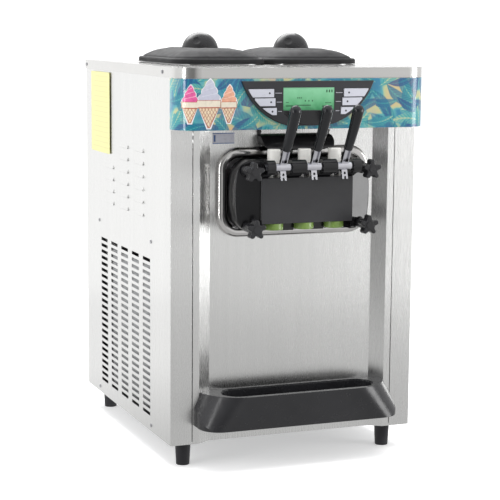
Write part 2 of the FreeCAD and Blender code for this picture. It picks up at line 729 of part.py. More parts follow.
def door_wings(seat):
    """The door's broad base: bowed sides, and wings that slope back from the middle block."""
    half, inner = S.door_width / 2, S.nose_width / 2 + 0.5
    front, deep = S.front_y, S.wing_rise + S.door_out + 5
    slab = round_prism(half, S.door_height / 2, S.door_corner, 0, deep)
    bow = ((S.door_height / 2) ** 2 + S.door_bow ** 2) / (2 * S.door_bow)
    for side in (-1, 1):
        slab = slab.common(cylinder(bow, deep, Vector(side * (bow - half), 0, 0), Vector(0, 0, 1)))
    edge, ridge, flat = front - S.door_out, front - S.door_out - S.wing_rise, front - WING_FLAT
    outline = [(-half, seat), (-half, edge), (-inner, ridge), (-inner, flat),
               (inner, flat), (inner, ridge), (half, edge), (half, seat)]
    slopes = prism(outline, "z", S.door_z - S.door_height / 2 - 1, S.door_height + 2)
    wings = facing(slab, seat, S.door_z).common(slopes)
    return rounded(wings, 4, lambda middle, _: abs(middle.x) > inner + 1 and middle.y < edge + 0.5)


def make_door():
    front, pivot_y = S.front_y, S.front_y - S.pivot_out
    seat = front - 2.4
    wings = door_wings(seat)
    plug_depth = S.recess_depth - 4
    plug = facing(round_prism(122, 56, 16, 0, plug_depth + 4), seat + plug_depth,
                  S.door_z + BEAD_LIFT)
    block_front = front - S.nose_out
    block = cuboid(-S.nose_width / 2, S.nose_width / 2, block_front, front - 20, S.nose_low, S.nose_top)
    block = rounded(block, 3, lambda middle, _: middle.y < block_front + 0.01)
    pieces = [plug, block]
    space = S.hub_width / 2 + 0.8
    gaps = [(-S.nose_width / 2 - 2, -S.lever_pitch - space), (-S.lever_pitch + space, -space),
            (space, S.lever_pitch - space), (S.lever_pitch + space, S.nose_width / 2 + 2)]
    for x0, x1 in gaps:
        pieces.append(cylinder(S.knuckle_radius, x1 - x0, Vector(x0, pivot_y, S.pivot_z), Vector(1, 0, 0)))
        pieces.append(cuboid(x0, x1, pivot_y, front - 25, S.pivot_z - 12, S.pivot_z + 9))
        pieces.append(prism([(block_front + 6, S.nose_top - 2), (front - 22, S.nose_top - 2),
                             (front - 22, S.pivot_z), (pivot_y, S.pivot_z - 11)], "x", x0, x1 - x0))
    door = wings.fuse(pieces).removeSplitter()
    tools = [cylinder(S.rod_radius + 0.05, 260, Vector(-130, pivot_y, S.pivot_z), Vector(1, 0, 0))]
    for x in lever_x().values():
        tools.append(cylinder(S.piston_radius + S.slide_gap, 300,
                              Vector(x, front - S.piston_out, S.nose_low - 60), Vector(0, 0, 1)))
        tools.append(cylinder(S.nozzle_radius + S.slide_gap, 60,
                              Vector(x, front - S.piston_out, S.nose_low - 60), Vector(0, 0, 1)))
    ahead = Vector(0, -1, 0)
    for x, z in star_places().values():
        tools.append(cylinder(S.stud_radius + 0.3, 100, Vector(x, front + 30, z), ahead))
        tools.append(cylinder(SLEEVE_WIDE + 0.8, 60, Vector(x, front - S.door_out, z), ahead))
    for side in (-1, 1):
        tools.append(cylinder(14.0, 18, Vector(side * S.cylinder_x, front + 20, S.cylinder_z), ahead))
    door = door.cut(tools[0].fuse(tools[1:]))
    solid("dispensing_door", door)

    gasket = round_prism(115.5, 52, 16, 0, 3.0).cut(round_prism(111.5, 48, 12, -1, 5))
    solid("door_gasket", facing(gasket, front + S.recess_depth - 0.2, S.door_z + BEAD_LIFT))


def make_door_fittings():
    """Front plate, pivot rod with its heads, and the four studs."""
    plate = sketched_block("plate", "nose_width - 1", "nose_top - nose_low - 1", "plate_sheet",
                           ("0", "front_y - nose_out", "(nose_low + nose_top) / 2"), "1.5", TO_FRONT)
    node("door_plate", plate)

    bar = rod("rod_bar", "rod_radius", "nose_width + 8",
              ("-nose_width / 2 - 4", "front_y - pivot_out", "pivot_z"), TO_RIGHT)
    heads = [rod("rod_head", "6.5", "1.8", (x, "front_y - pivot_out", "pivot_z"), TO_RIGHT)
             for x in ("-nose_width / 2 - 4", "nose_width / 2 + 2.2")]
    node("pivot_rod", fuse("headed_rod", bar, *heads))

    studs = []
    for end in ("upper", "lower"):
        for x in (f"-star_{end}_x", f"star_{end}_x"):
            studs.append(rod("stud", "stud_radius", "stud_length",
                             (x, "front_y + recess_depth + skin + 0.6", f"star_{end}_z"), TO_FRONT))
    node("door_studs", group("studs", *studs))


def star_knob():
    """A five-pointed knob with a long sleeve for its stud, axis along -Y."""
    head_front, head_back = -S.star_thick / 2, S.star_thick / 2
    core = cylinder(11.5, S.star_thick, Vector(0, head_back, 0), Vector(0, -1, 0))
    lobes = []
    foot, tip = 6.8, 4.5
    for index in range(5):
        angle = math.radians(90 + 72 * index)
        x, z = math.cos(angle), math.sin(angle)
        centre = Vector(x * (S.star_radius - tip), head_back, z * (S.star_radius - tip))
        lobes.append(cylinder(tip, S.star_thick, centre, Vector(0, -1, 0)))
        side, base = Vector(-z, 0, x), Vector(0, head_back, 0)
        arm = [base + side * foot, base - side * foot, centre - side * tip, centre + side * tip]
        lobes.append(Part.Face(Part.makePolygon(arm + arm[:1])).extrude(Vector(0, -S.star_thick, 0)))
    head = core.fuse(lobes).removeSplitter()
    head = rounded(head, 1.8, lambda middle, _: middle.y < head_front + 0.01)
    sleeve_end = S.star_out - S.door_out - 0.4
    sleeve = Part.makeCone(9.5, SLEEVE_WIDE, sleeve_end - head_back + 2,
                           Vector(0, sleeve_end, 0), Vector(0, -1, 0))
    cap = cylinder(7.5, 1.6, Vector(0, head_front, 0), Vector(0, -1, 0))
    bore = cylinder(S.stud_radius + S.shaft_gap, 48, Vector(0, sleeve_end + 1, 0), Vector(0, -1, 0))
    return head.fuse([sleeve, cap]).removeSplitter().cut(bore)


def make_star_knobs():
    for tag, (x, z) in star_places().items():
        solid(f"{tag}_star_knob", star_knob(), x, S.front_y - S.star_out, z)


# ---------------------------------------------------------------- levers, pistons, nozzles
def lever_metal():
    """Hub, channelled arm up to the grip, toe in front and lifting arm behind; pivot at the origin."""
    lean = math.radians(S.lever_lean)
    up = Vector(0, -math.sin(lean), math.cos(lean))
    across = Vector(0, math.cos(lean), math.sin(lean))
    hub = cylinder(S.hub_radius, S.hub_width, Vector(-S.hub_width / 2, 0, 0), Vector(1, 0, 0))

    def bar(direction, square, width, thick, start, end):
        corner = direction * start - square * (thick / 2) - Vector(width / 2, 0, 0)
        side_a, side_b = square * thick, direction * (end - start)
        ring = [corner, corner + side_a, corner + side_a + side_b, corner + side_b]
        return Part.Face(Part.makePolygon(ring + ring[:1])).extrude(Vector(width, 0, 0))

    arm = bar(up, across, S.arm_width, S.arm_thick, 4.0, 96.0)
    channel = bar(up, across, S.arm_width - 2 * S.arm_wall, S.arm_thick, S.hub_radius + 3, S.grip_start + 4)
    channel.translate(across * -S.arm_wall)
    toe_way = Vector(0, -0.26, -0.966)
    toe = bar(toe_way, Vector(0, 0.966, -0.26), 12.0, 4.0, 5.0, 26.0)
    toe_slot = cylinder(2.4, 20, toe_way * 14 + Vector(0, 10, 0), Vector(0, -1, 0))
    fork = bar(toe_way, Vector(0, 0.966, -0.26), 4.0, 8.0, 20.5, 30.0)
    drop = math.radians(S.lift_angle)
    back = Vector(0, math.cos(drop), -math.sin(drop))
    lift = bar(back, Vector(0, math.sin(drop), math.cos(drop)), 10.0, 6.0, 4.0, S.lift_arm)
    pin = cylinder(4.0, 10.0, back * S.lift_arm - Vector(5, 0, 0), Vector(1, 0, 0))
    lever = hub.fuse([arm, toe, lift, pin]).removeSplitter()
    bore = cylinder(S.rod_radius + S.shaft_gap, S.hub_width + 4,
                    Vector(-S.hub_width / 2 - 2, 0, 0), Vector(1, 0, 0))
    return lever.cut(channel.fuse([toe_slot, fork, bore]))


def lever_grip():
    """Moulded grip on the lever's arm, bowed a little to the front."""
    lean = math.radians(S.lever_lean)
    up = Vector(0, -math.sin(lean), math.cos(lean))
    across = Vector(0, math.cos(lean), math.sin(lean))
    sections = []
    top = S.lever_length - S.grip_radius
    widths = ((0.0, 8.6, 0.0), (0.25, 9.2, 1.2), (0.6, 10.2, 1.6), (1.0, S.grip_radius, 0.0))
    for share, radius, bow in widths:
        centre = up * (S.grip_start + (top - S.grip_start) * share) - across * bow
        sections.append(Part.Wire([Part.Circle(centre, up, radius).toShape()]))
    grip = Part.makeLoft(sections, True, False)
    grip = grip.fuse(Part.makeSphere(S.grip_radius, up * top)).removeSplitter()
    return grip


def make_levers():
    metal = lever_metal()
    grip = lever_grip().cut(metal)
    for tag, x in lever_x().items():
        solid(f"{tag}_lever", metal.copy(), x, S.front_y - S.pivot_out, S.pivot_z)
        solid(f"{tag}_grip", grip.copy(), x, S.front_y - S.pivot_out, S.pivot_z)


def make_pistons():
    drop = math.radians(S.lift_angle)
    pin_z = S.pivot_z - S.lift_arm * math.sin(drop)
    tall = S.piston_top - S.piston_low
    piston = cylinder(S.piston_radius, tall, Vector(), Vector(0, 0, 1))
    piston = rounded(piston, 2.0, lambda middle, _: middle.z > tall - 0.01)
    mouth = prism([(6.2, -4.7), (6.2, 4.7), (-2.0, 4.7), (-14.5, 11.8), (-14.5, -11.8), (-2.0, -4.7)],
                  "x", -6.0, 12.0)
    mouth.translate(Vector(0, 0, pin_z - S.piston_low))
    grooves = []
    for height in (8.0, 62.0):
        ring = cylinder(S.piston_radius + 1, 4, Vector(0, 0, height), Vector(0, 0, 1))
        grooves.append(ring.cut(cylinder(S.piston_radius - 2.2, 4, Vector(0, 0, height), Vector(0, 0, 1))))
    piston = piston.cut(mouth.fuse(grooves))
    for tag, x in lever_x().items():
        solid(f"{tag}_piston", piston.copy(), x, S.front_y - S.piston_out, S.piston_low)


def make_nozzle_caps():
    caps = []
    low = S.nose_low - S.nozzle_height
    up = Vector(0, 0, 1)
    for x in lever_x().values():
        foot = Vector(x, S.front_y - S.piston_out, low)
        cap = cylinder(S.nozzle_radius, S.nozzle_height, foot, up)
        cap = rounded(cap, 2.0, lambda middle, _: middle.z < low + 0.01)
        star = []
        for index in range(6):
            point = Part.makeBox(9.5, 4.0, 30, Vector(0, -2.0, -5))
            point.Placement = Placement(foot, Rotation(up, 60 * index))
            star.append(point)
        bowl = Part.makeCone(7.0, 13.0, S.nozzle_height - 3, foot + up * 3, up)
        caps.append(cap.cut(bowl.fuse(star)))
    solid("nozzle_caps", Part.makeCompound(caps))


VISOR_CORNER = (15.0, 12.0)


def make_visor():
    """Curved splash visor over the door, trimmed to a shape with rounded lower corners."""
    wall = S.front_y + S.recess_depth
    top, low, out = S.visor_top, S.visor_low, S.visor_out
    half, t = S.visor_width / 2, 2.4

    def roof(shrink, floor):
        crest = Vector(0, wall - out * 0.62 + shrink * 0.7, top - (top - low) * 0.30 - shrink * 0.7)
        start, end = Vector(0, wall, top - shrink), Vector(0, wall - out + shrink, floor)
        curve = Part.Arc(start, crest, end).toShape()
        base = Part.LineSegment(end, Vector(0, wall, floor)).toShape()
        back = Part.LineSegment(Vector(0, wall, floor), start).toShape()
        return Part.Face(Part.Wire([curve, base, back]))

    width = half - t
    shell = roof(0, low).extrude(Vector(2 * half, 0, 0))
    shell.translate(Vector(-half, 0, 0))
    hollow = roof(t, low - 2).extrude(Vector(2 * width, 0, 0))
    hollow.translate(Vector(-width, 0, 0))
    rise, run = VISOR_CORNER
    right_side = [(half - run, low), (half - 0.3 * run, low + 0.3 * rise), (half, low + rise),
                  (half, top - 4), (half - 4, top)]
    left_side = [(-x, z) for x, z in reversed(right_side)]
    trim = prism(right_side + left_side, "y", wall - out - 5, out + 10)
    visor = shell.common(trim).cut(hollow)
    for x in (-half + 3, half - 3):
        peg = cylinder(3.2, 7, Vector(x, wall, top + 4.5), Vector(0, -1, 0))
        tab = cuboid(x - 3.5, x + 3.5, wall - t, wall, top - 12, top + 8)
        visor = visor.fuse([peg, tab])
    solid("splash_visor", visor.removeSplitter())


# ---------------------------------------------------------------- drip tray
def make_drip_tray():
    """Deep moulded tray: upright ends, front corners cut back by a leaning bevel, round-ended well."""
    front = S.front_y - S.tray_out
    wall = S.front_y + S.recess_depth - 0.5
    deep = (wall + 140) - front
    middle_y = front + deep / 2
    low, top = S.tray_low, S.tray_top
    upright = round_prism(S.tray_half, deep / 2, S.tray_corner, low, top, 0, middle_y)
    bevel = Part.makeLoft([
        round_wire(S.tray_half + 15, deep / 2, S.tray_corner + 18, low, 0, middle_y),
        round_wire(S.tray_half - 12, deep / 2 - 2, S.tray_corner + 44, top, 0, middle_y),
    ], True, True)
    tray = upright.common(bevel)
    edge = S.body_width / 2 - S.pillar_width - S.joint_gap
    strip, slope = edge - S.strip_width, edge - S.strip_width - S.slope_width
    pillars, far = S.front_y - 0.5, S.body_depth
    behind = [(-far, pillars), (-strip - SEAM, pillars), (-slope - SEAM, wall),
              (slope + SEAM, wall), (strip + SEAM, pillars), (far, pillars), (far, far), (-far, far)]
    tray = tray.cut(prism(behind, "z", low - 5, top - low + 10))
    well_y = S.front_y + S.recess_depth - 8 - S.well_width / 2
    end = S.well_width / 2
    well = round_prism(S.well_half, end, end, top - S.well_depth, top + 5, 0, well_y)
    lip = round_prism(S.well_half + 3.5, end + 3.5, end + 3.5, top - 2.0, top + 5, 0, well_y)
    tray = tray.cut(well.fuse(lip))
    solid("drip_tray", tray)


# ---------------------------------------------------------------- machinery
def rear_y():
    return S.front_y + S.body_depth


def make_cylinders():
    """Two freezing cylinders welded to one front plate."""
    face = S.front_y + S.recess_depth + S.skin + 0.6
    plate = facing(round_prism(S.bead_outer / 2 - 14, S.bead_tall / 2 - 12, 30, -3.0, 0),
                   face, S.door_z + BEAD_LIFT)
    pieces, bores = [], []
    back = Vector(0, 1, 0)
    for side in (-1, 1):
        start = Vector(side * S.cylinder_x, face + 0.5, S.cylinder_z)
        pieces.append(cylinder(S.cylinder_radius + S.cylinder_wall, S.cylinder_length, start, back))
        bores.append(cylinder(S.cylinder_radius, S.cylinder_length - 6, start - back * 2, back))
        shaft_hole = start + back * (S.cylinder_length - 20)
        bores.append(cylinder(S.shaft_radius + S.shaft_gap, 40, shaft_hole, back))
    weldment = plate.fuse(pieces).cut(bores[0].fuse(bores[1:])).removeSplitter()
    solid("freezing_cylinders", weldment)


def beater():
    """Open dasher: three scraper bars on spiders, with its drive shaft; front end at the origin."""
    back = Vector(0, 1, 0)
    reach = S.cylinder_radius - S.beater_gap
    long = S.cylinder_length - 40
    shaft = cylinder(S.shaft_radius, long + 84, Vector(0, 4, 0), back)
    nose = cylinder(11.0, 20, Vector(0, -12, 0), back)
    pieces = [shaft, nose]
    for index in range(3):
        turn = Rotation(back, 120 * index)
        bar = cuboid(-5, 5, 12, long, reach - 9, reach - 1)
        bar.Placement = Placement(Vector(), turn)
        pieces.append(bar)
        for station in range(4):
            y = 14 + station * (long - 24) / 3
            spoke = cuboid(-4, 4, y, y + 8, 3, reach - 2)
            spoke.Placement = Placement(Vector(), turn)
            pieces.append(spoke)
    return pieces[0].fuse(pieces[1:]).removeSplitter()


def make_beaters():
    face = S.front_y + S.recess_depth + S.skin + 0.6
    for tag, side in SIDES.items():
        solid(f"{tag}_beater", beater(), side * S.cylinder_x, face + 6, S.cylinder_z)


def belt_y(side):
    """The two belts run in two planes, one in front of the other."""
    return rear_y() - (52 if side < 0 else 36)


def pulley(radius, planes):
    """Flanged pulley with one groove for each belt plane, axis along Y through the origin."""
    back = Vector(0, 1, 0)
    first, last = min(planes) - 7, max(planes) + 7
    body = cylinder(radius + 4, last - first, Vector(0, first, 0), back)
    for y in planes:
        half = S.belt_width / 2 + 0.6
        groove = cylinder(radius + 9, 2 * half, Vector(0, y - half, 0), back)
        groove = groove.cut(cylinder(radius, 2 * half, Vector(0, y - half, 0), back))
        body = body.cut(groove)
    return body


def belt_loop(first, second, radius_1, radius_2, y):
    """A belt round two wheels given by their (x, z) centres."""
    def hull(grow):
        r1, r2 = radius_1 + grow, radius_2 + grow
        ax, az, bx, bz = first[0], first[1], second[0], second[1]
        gap = math.hypot(bx - ax, bz - az)
        heading = math.atan2(bz - az, bx - ax)
        swing = math.acos((r1 - r2) / gap)
        def at(cx, cz, r, angle):
            return Vector(cx + r * math.cos(angle), y - S.belt_width / 2, cz + r * math.sin(angle))
        a1, a2 = at(ax, az, r1, heading + swing), at(ax, az, r1, heading - swing)
        b1, b2 = at(bx, bz, r2, heading + swing), at(bx, bz, r2, heading - swing)
        return Part.Face(Part.Wire([
            Part.Arc(a1, at(ax, az, r1, heading + math.pi), a2).toShape(),
            Part.LineSegment(a2, b2).toShape(),
            Part.Arc(b2, at(bx, bz, r2, heading), b1).toShape(),
            Part.LineSegment(b1, a1).toShape(),
        ])).extrude(Vector(0, S.belt_width, 0))
    return hull(S.slide_gap + S.belt_thick).cut(hull(S.slide_gap))


def make_drive():
    back = Vector(0, 1, 0)
    motor_front = rear_y() - 300
    motor = cylinder(S.motor_radius, 220, Vector(0, motor_front, S.motor_z), back)
    motor = rounded(motor, 10, lambda middle, _: True)
    feet = cuboid(-55, 55, motor_front + 30, motor_front + 190, S.foot_height + 2, S.foot_height + 8)
    ribs = [cuboid(x - 4, x + 4, motor_front + 40, motor_front + 180, S.foot_height + 4, S.motor_z - 20)
            for x in (-40, 40)]
    bore = cylinder(8 + S.shaft_gap, 60, Vector(0, motor_front + 180, S.motor_z), back)
    solid("beater_motor", motor.fuse([feet] + ribs).removeSplitter().cut(bore))
    planes = [belt_y(-1), belt_y(1)]
    wheel = pulley(S.motor_pulley_radius, planes)
    stub = cylinder(8, 70, Vector(0, motor_front + 200, 0), back)
    solid("motor_pulley", wheel.fuse(stub).removeSplitter(), z=S.motor_z)

    boxes, belts = [], []
    face = S.front_y + S.recess_depth + S.skin + 0.6 + S.cylinder_length + 1.5
    for tag, side in SIDES.items():
        x = side * S.cylinder_x
        case = cuboid(x - 46, x + 46, face, rear_y() - 74, S.shelf_z, S.cylinder_z + 52)
        case = rounded(case, 8, lambda middle, way: abs(way.y) > 0.99 and middle.z > S.cylinder_z)
        case = case.cut(cylinder(S.shaft_radius + S.shaft_gap, 56, Vector(x, face - 1, S.cylinder_z), back))
        case = case.cut(cylinder(8 + S.shaft_gap, 20, Vector(x, rear_y() - 92, S.cylinder_z), back))
        boxes.append(case)
        wheel = pulley(S.pulley_radius, [belt_y(side)])
        stub = cylinder(8, belt_y(side) - (rear_y() - 90), Vector(0, rear_y() - 90, 0), back)
        solid(f"{tag}_pulley", wheel.fuse(stub).removeSplitter(), x, 0, S.cylinder_z)
        belts.append(belt_loop((0, S.motor_z), (x, S.cylinder_z), S.motor_pulley_radius,
                               S.pulley_radius, belt_y(side)))
    solid("gearboxes", Part.makeCompound(boxes))
    solid("drive_belts", Part.makeCompound(belts))


def make_refrigeration():
    right, up = Vector(1, 0, 0), Vector(0, 0, 1)
    floor = S.foot_height + 2
    fan_y = S.front_y + S.fan_back
    shell = Part.makeCylinder(78, 150, Vector(145, S.front_y + 190, floor + 14), up)
    shell = rounded(shell, 30, lambda middle, _: middle.z > floor + 150)
    shell = shell.fuse(cuboid(75, 215, S.front_y + 110, S.front_y + 270, floor, floor + 15)).removeSplitter()
    solid("compressor", shell)

    core = cuboid(-246, -202, fan_y - 150, fan_y + 150, floor, floor + 330)
    fins = []
    for index in range(20):
        y = fan_y - 140 + index * 14
        fins.append(cuboid(-244, -204, y, y + 7, floor + 12, floor + 318))
    solid("condenser", core.cut(Part.makeCompound(fins)))

    plate = cuboid(-199, -197, fan_y - 150, fan_y + 150, floor, floor + 330)
    plate = plate.cut(cylinder(S.fan_radius + 8, 10, Vector(-203, fan_y, S.fan_z), right))
    ring = cylinder(S.fan_radius + 10, 40, Vector(-197, fan_y, S.fan_z), right)
    ring = ring.cut(cylinder(S.fan_radius + 8, 50, Vector(-200, fan_y, S.fan_z), right))
    arm = S.fan_radius + 9
    struts = [cuboid(-157, -154, fan_y - arm, fan_y + arm, S.fan_z - 8, S.fan_z + 8),
              cuboid(-157, -154, fan_y - 8, fan_y + 8, S.fan_z - arm, S.fan_z + arm)]
    hole = cylinder(20, 12, Vector(-160, fan_y, S.fan_z), right)
    solid("fan_shroud", plate.fuse([ring] + struts).removeSplitter().cut(hole))

    motor = cylinder(38, 60, Vector(-153.5, fan_y, S.fan_z), right)
    motor = rounded(motor, 5, lambda middle, _: middle.x > -100)
    motor = motor.cut(cylinder(5 + S.shaft_gap, 30, Vector(-155, fan_y, S.fan_z), right))
    solid("fan_motor", motor)
    hub = cylinder(22, 22, Vector(-184, 0, 0), right)
    shaft = cylinder(5, 34, Vector(-164, 0, 0), right)
    blades = []
    for index in range(5):
        blade = cuboid(-1.5, 1.5, -24, 24, 15, S.fan_radius)
        blade.Placement = Placement(Vector(-173, 0, 0), Rotation(Vector(1, 0, 0), 72 * index)
                                    * Rotation(Vector(0, 0, 1), 24))
        blades.append(blade)
    solid("fan_blade", hub.fuse([shaft] + blades).removeSplitter(), 0, fan_y, S.fan_z)

    case = sketched_block("case", "box_width", "box_length", "box_height",
                          ("box_x", "front_y + body_depth - box_back", "foot_height + 2"), "4")
    node("electrical_box", case)


def build():
    make_base()
    make_feet()
    make_side_panels()
    make_panel_screws()
    make_front_panel()
    make_door_surround()
    make_rear_panel()
    make_top_cover()
    make_head_shell()
    make_control_panel()
    make_hoppers()
    make_lids()
    make_door()
    make_door_fittings()
    make_star_knobs()
    make_levers()
    make_pistons()
    make_nozzle_caps()
    make_visor()
    make_drip_tray()
    make_cylinders()
    make_beaters()
    make_drive()
    make_refrigeration()


def check_and_write():
    """Stops on any failed object or bad shape, then writes one file for each sub-part."""
    doc.recompute()
    for thing in doc.Objects:
        if "Invalid" in thing.State or "Error" in thing.State:
            raise SystemExit(f"{thing.Label} failed: {thing.State}")
    for name, thing in NODES.items():
        if thing.Shape.isNull() or not thing.Shape.isValid() or not thing.Shape.Solids:
            raise SystemExit(f"{name} has a bad shape")
    os.makedirs("parts", exist_ok=True)
    whole = Part.makeCompound([thing.Shape for thing in NODES.values()]).BoundBox
    for name, thing in NODES.items():
        thing.Shape.exportStep(f"parts/{name}.step")
    print(len(NODES), "sub-parts, box", [round(v, 2) for v in (
        whole.XMin, whole.XMax, whole.YMin, whole.YMax, whole.ZMin, whole.ZMax)])


build()
check_and_write()
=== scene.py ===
"""The looks of a countertop soft serve machine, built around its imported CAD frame. All lengths are metres."""

import itertools
import json
import math

import bmesh
import bpy
from mathutils import Matrix, Vector


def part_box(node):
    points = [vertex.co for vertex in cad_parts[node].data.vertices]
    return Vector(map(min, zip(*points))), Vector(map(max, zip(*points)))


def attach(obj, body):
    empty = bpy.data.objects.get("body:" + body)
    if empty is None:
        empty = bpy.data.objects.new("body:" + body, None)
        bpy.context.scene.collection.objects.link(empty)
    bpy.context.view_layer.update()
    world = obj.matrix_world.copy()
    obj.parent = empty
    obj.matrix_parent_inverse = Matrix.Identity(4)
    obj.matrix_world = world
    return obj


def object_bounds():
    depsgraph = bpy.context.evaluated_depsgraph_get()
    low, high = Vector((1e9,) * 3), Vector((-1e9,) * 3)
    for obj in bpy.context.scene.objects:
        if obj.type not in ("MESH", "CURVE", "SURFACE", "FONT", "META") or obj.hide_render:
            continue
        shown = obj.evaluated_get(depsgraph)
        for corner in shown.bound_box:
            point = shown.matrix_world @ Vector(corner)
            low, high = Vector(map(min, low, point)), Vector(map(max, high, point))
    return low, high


MM = 0.001
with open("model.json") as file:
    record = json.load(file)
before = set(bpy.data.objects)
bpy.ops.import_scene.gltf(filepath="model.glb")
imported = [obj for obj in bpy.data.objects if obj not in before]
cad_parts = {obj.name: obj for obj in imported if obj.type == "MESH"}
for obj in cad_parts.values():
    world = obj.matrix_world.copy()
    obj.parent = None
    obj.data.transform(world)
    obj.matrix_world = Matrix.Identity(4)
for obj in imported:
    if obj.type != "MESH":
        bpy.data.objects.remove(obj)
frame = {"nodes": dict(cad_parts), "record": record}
cad_low, cad_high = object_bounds()
NODES = frame["nodes"]
SLOT_OF_NODE = {part["node"]: part["material_slot"] for part in frame["record"]["subparts"]}


# ---------------------------------------------------------------- materials


def colour_sockets(sockets):
    """The colour sockets of a mix node, which has others of the same names for numbers and vectors."""
    return [socket for socket in sockets if socket.type == "RGBA"]


class Graph:
    """A node tree, with short calls that each add a node to it."""

    def __init__(self, tree):
        self.nodes = tree.nodes
        self.links = tree.links

    def add(self, kind, **settings):
        node = self.nodes.new(kind)
        for setting, value in settings.items():
            setattr(node, setting, value)
        return node

    def join(self, source, node, socket):
        """Links an output to a node's input, or sets the input to a plain value."""
        if isinstance(source, bpy.types.NodeSocket):
            self.links.new(source, node.inputs[socket])
        else:
            node.inputs[socket].default_value = source

    def math(self, operation, first, second=0.0):
        node = self.add("ShaderNodeMath", operation=operation)
        for index, value in enumerate((first, second)):
            self.join(value, node, index)
        return node.outputs[0]

    def split(self, source):
        """The X, Y and Z of a vector, as three outputs."""
        node = self.add("ShaderNodeSeparateXYZ")
        self.join(source, node, 0)
        return node.outputs

    def span(self, source, low, high, new_low, new_high):
        node = self.add("ShaderNodeMapRange")
        for index, value in enumerate((source, low, high, new_low, new_high)):
            self.join(value, node, index)
        return node.outputs[0]

    def ramp(self, source, *stops):
        node = self.add("ShaderNodeValToRGB")
        self.join(source, node, "Fac")
        elements = node.color_ramp.elements
        while len(elements) < len(stops):
            elements.new(0.5)
        for element, (position, colour) in zip(elements, stops):
            element.position = position
            element.color = (*colour, 1.0)
        return node.outputs[0]

    def mix(self, factor, first, second):
        """A blend of two colours, each an output or three plain numbers."""
        node = self.add("ShaderNodeMix", data_type="RGBA")
        self.join(factor, node, "Factor")
        for target, value in zip(colour_sockets(node.inputs), (first, second)):
            if isinstance(value, bpy.types.NodeSocket):
                self.links.new(value, target)
            else:
                target.default_value = (*value, 1.0)
        return colour_sockets(node.outputs)[0]


class Look(Graph):
    """A procedural material: one principled shader, and short calls that add nodes in front of it."""

    def __init__(self, name, **settings):
        self.material = bpy.data.materials.new(name)
        self.material.use_nodes = True
        super().__init__(self.material.node_tree)
        self.shader = self.nodes["Principled BSDF"]
        for socket, value in settings.items():
            self.shader.inputs[socket.replace("_", " ")].default_value = value
        self.place = self.add("ShaderNodeTexCoord").outputs["Object"]

    def stretched(self, scale, source=None):
        """The coordinates scaled by a different number along each axis."""
        node = self.add("ShaderNodeMapping")
        self.join(source or self.place, node, "Vector")
        node.inputs["Scale"].default_value = scale
        return node.outputs[0]

    def noise(self, scale, detail=3.0, source=None, distortion=0.0):
        node = self.add("ShaderNodeTexNoise")
        self.join(source or self.place, node, "Vector")
        node.inputs["Scale"].default_value = scale
        node.inputs["Detail"].default_value = detail
        node.inputs["Distortion"].default_value = distortion
        return node.outputs["Fac"]

    def colour(self, source):
        self.join(source, self.shader, "Base Color")

    def roughness(self, source):
        self.join(source, self.shader, "Roughness")

    def relief(self, height, distance, strength=1.0, edge=0.0):
        """Bump from a height, over corners rounded to the edge radius."""
        bump = self.add("ShaderNodeBump")
        self.join(height, bump, "Height")
        bump.inputs["Distance"].default_value = distance
        bump.inputs["Strength"].default_value = strength
        if edge:
            bevel = self.add("ShaderNodeBevel", samples=4)
            bevel.inputs["Radius"].default_value = edge
            self.links.new(bevel.outputs[0], bump.inputs["Normal"])
        self.links.new(bump.outputs[0], self.shader.inputs["Normal"])


def brushed_steel(name, tint, grain, base_rough, edge=0.8 * MM, across="Z", stretch=0.0):
    """Stainless sheet: hair-fine scratches along one direction, faint streaks and handling marks."""
    look = Look(name, Metallic=1.0, Anisotropic=stretch)
    if stretch:
        way = look.add("ShaderNodeTangent", direction_type="RADIAL", axis=across)
        look.join(way.outputs[0], look.shader, "Tangent")
    scratches = look.noise(1600.0, 3.0, look.stretched(grain))
    streaks = look.noise(90.0, 2.0, look.stretched(grain))
    clouds = look.noise(3.0, 2.0)
    fine = look.span(scratches, 0.3, 0.7, -0.08, 0.08)
    broad = look.span(streaks, 0.3, 0.7, -0.2, 0.2)
    shade = look.math("ADD", fine, broad)
    worn = look.math("ADD", shade, look.span(clouds, 0.3, 0.7, 0.2, 0.8))
    dark = tuple(channel * 0.93 for channel in tint)
    look.colour(look.mix(worn, dark, tint))
    rough = look.span(scratches, 0.2, 0.8, base_rough - 0.04, base_rough + 0.04)
    look.roughness(look.math("ADD", rough, look.span(clouds, 0.3, 0.7, -0.02, 0.02)))
    look.relief(scratches, 0.002 * MM, 0.4, edge)
    return look.material


def polished_metal(name, tint, base_rough, edge=0.5 * MM):
    """Chrome or polished stainless: nearly a mirror, with smears and hairline scratches."""
    look = Look(name, Metallic=1.0)
    smears = look.noise(30.0, 4.0, distortion=0.6)
    hairs = look.noise(1800.0, 2.0, look.stretched((1.0, 1.0, 0.08)))
    dull = tuple(channel * 0.9 for channel in tint)
    look.colour(look.mix(look.span(smears, 0.35, 0.7, 0.0, 1.0), tint, dull))
    look.roughness(look.span(smears, 0.3, 0.8, base_rough, base_rough + 0.09))
    look.relief(hairs, 0.003 * MM, 0.3, edge)
    return look.material


def lever_metal():
    """Polished levers, their channels and corners darkened by painted shade."""
    look = Look("lever_chrome", Metallic=1.0)
    smears = look.noise(30.0, 4.0, distortion=0.6)
    # Painted shade: an occlusion test darkens the base colour in the channels and corners, where shade falls.
    open_air = look.add("ShaderNodeAmbientOcclusion", samples=8)
    open_air.inputs["Distance"].default_value = 7.0 * MM
    unshaded = look.span(open_air.outputs["AO"], 0.35, 0.75, 0.0, 1.0)
    metal = look.mix(look.span(smears, 0.35, 0.7, 0.0, 1.0), (0.72, 0.72, 0.76), (0.62, 0.62, 0.67))
    look.colour(look.mix(unshaded, (0.09, 0.09, 0.10), metal))
    look.roughness(look.span(smears, 0.3, 0.8, 0.10, 0.19))
    look.relief(look.noise(1800.0, 2.0, look.stretched((1.0, 1.0, 0.08))), 0.003 * MM, 0.3, 0.5 * MM)
    return look.material


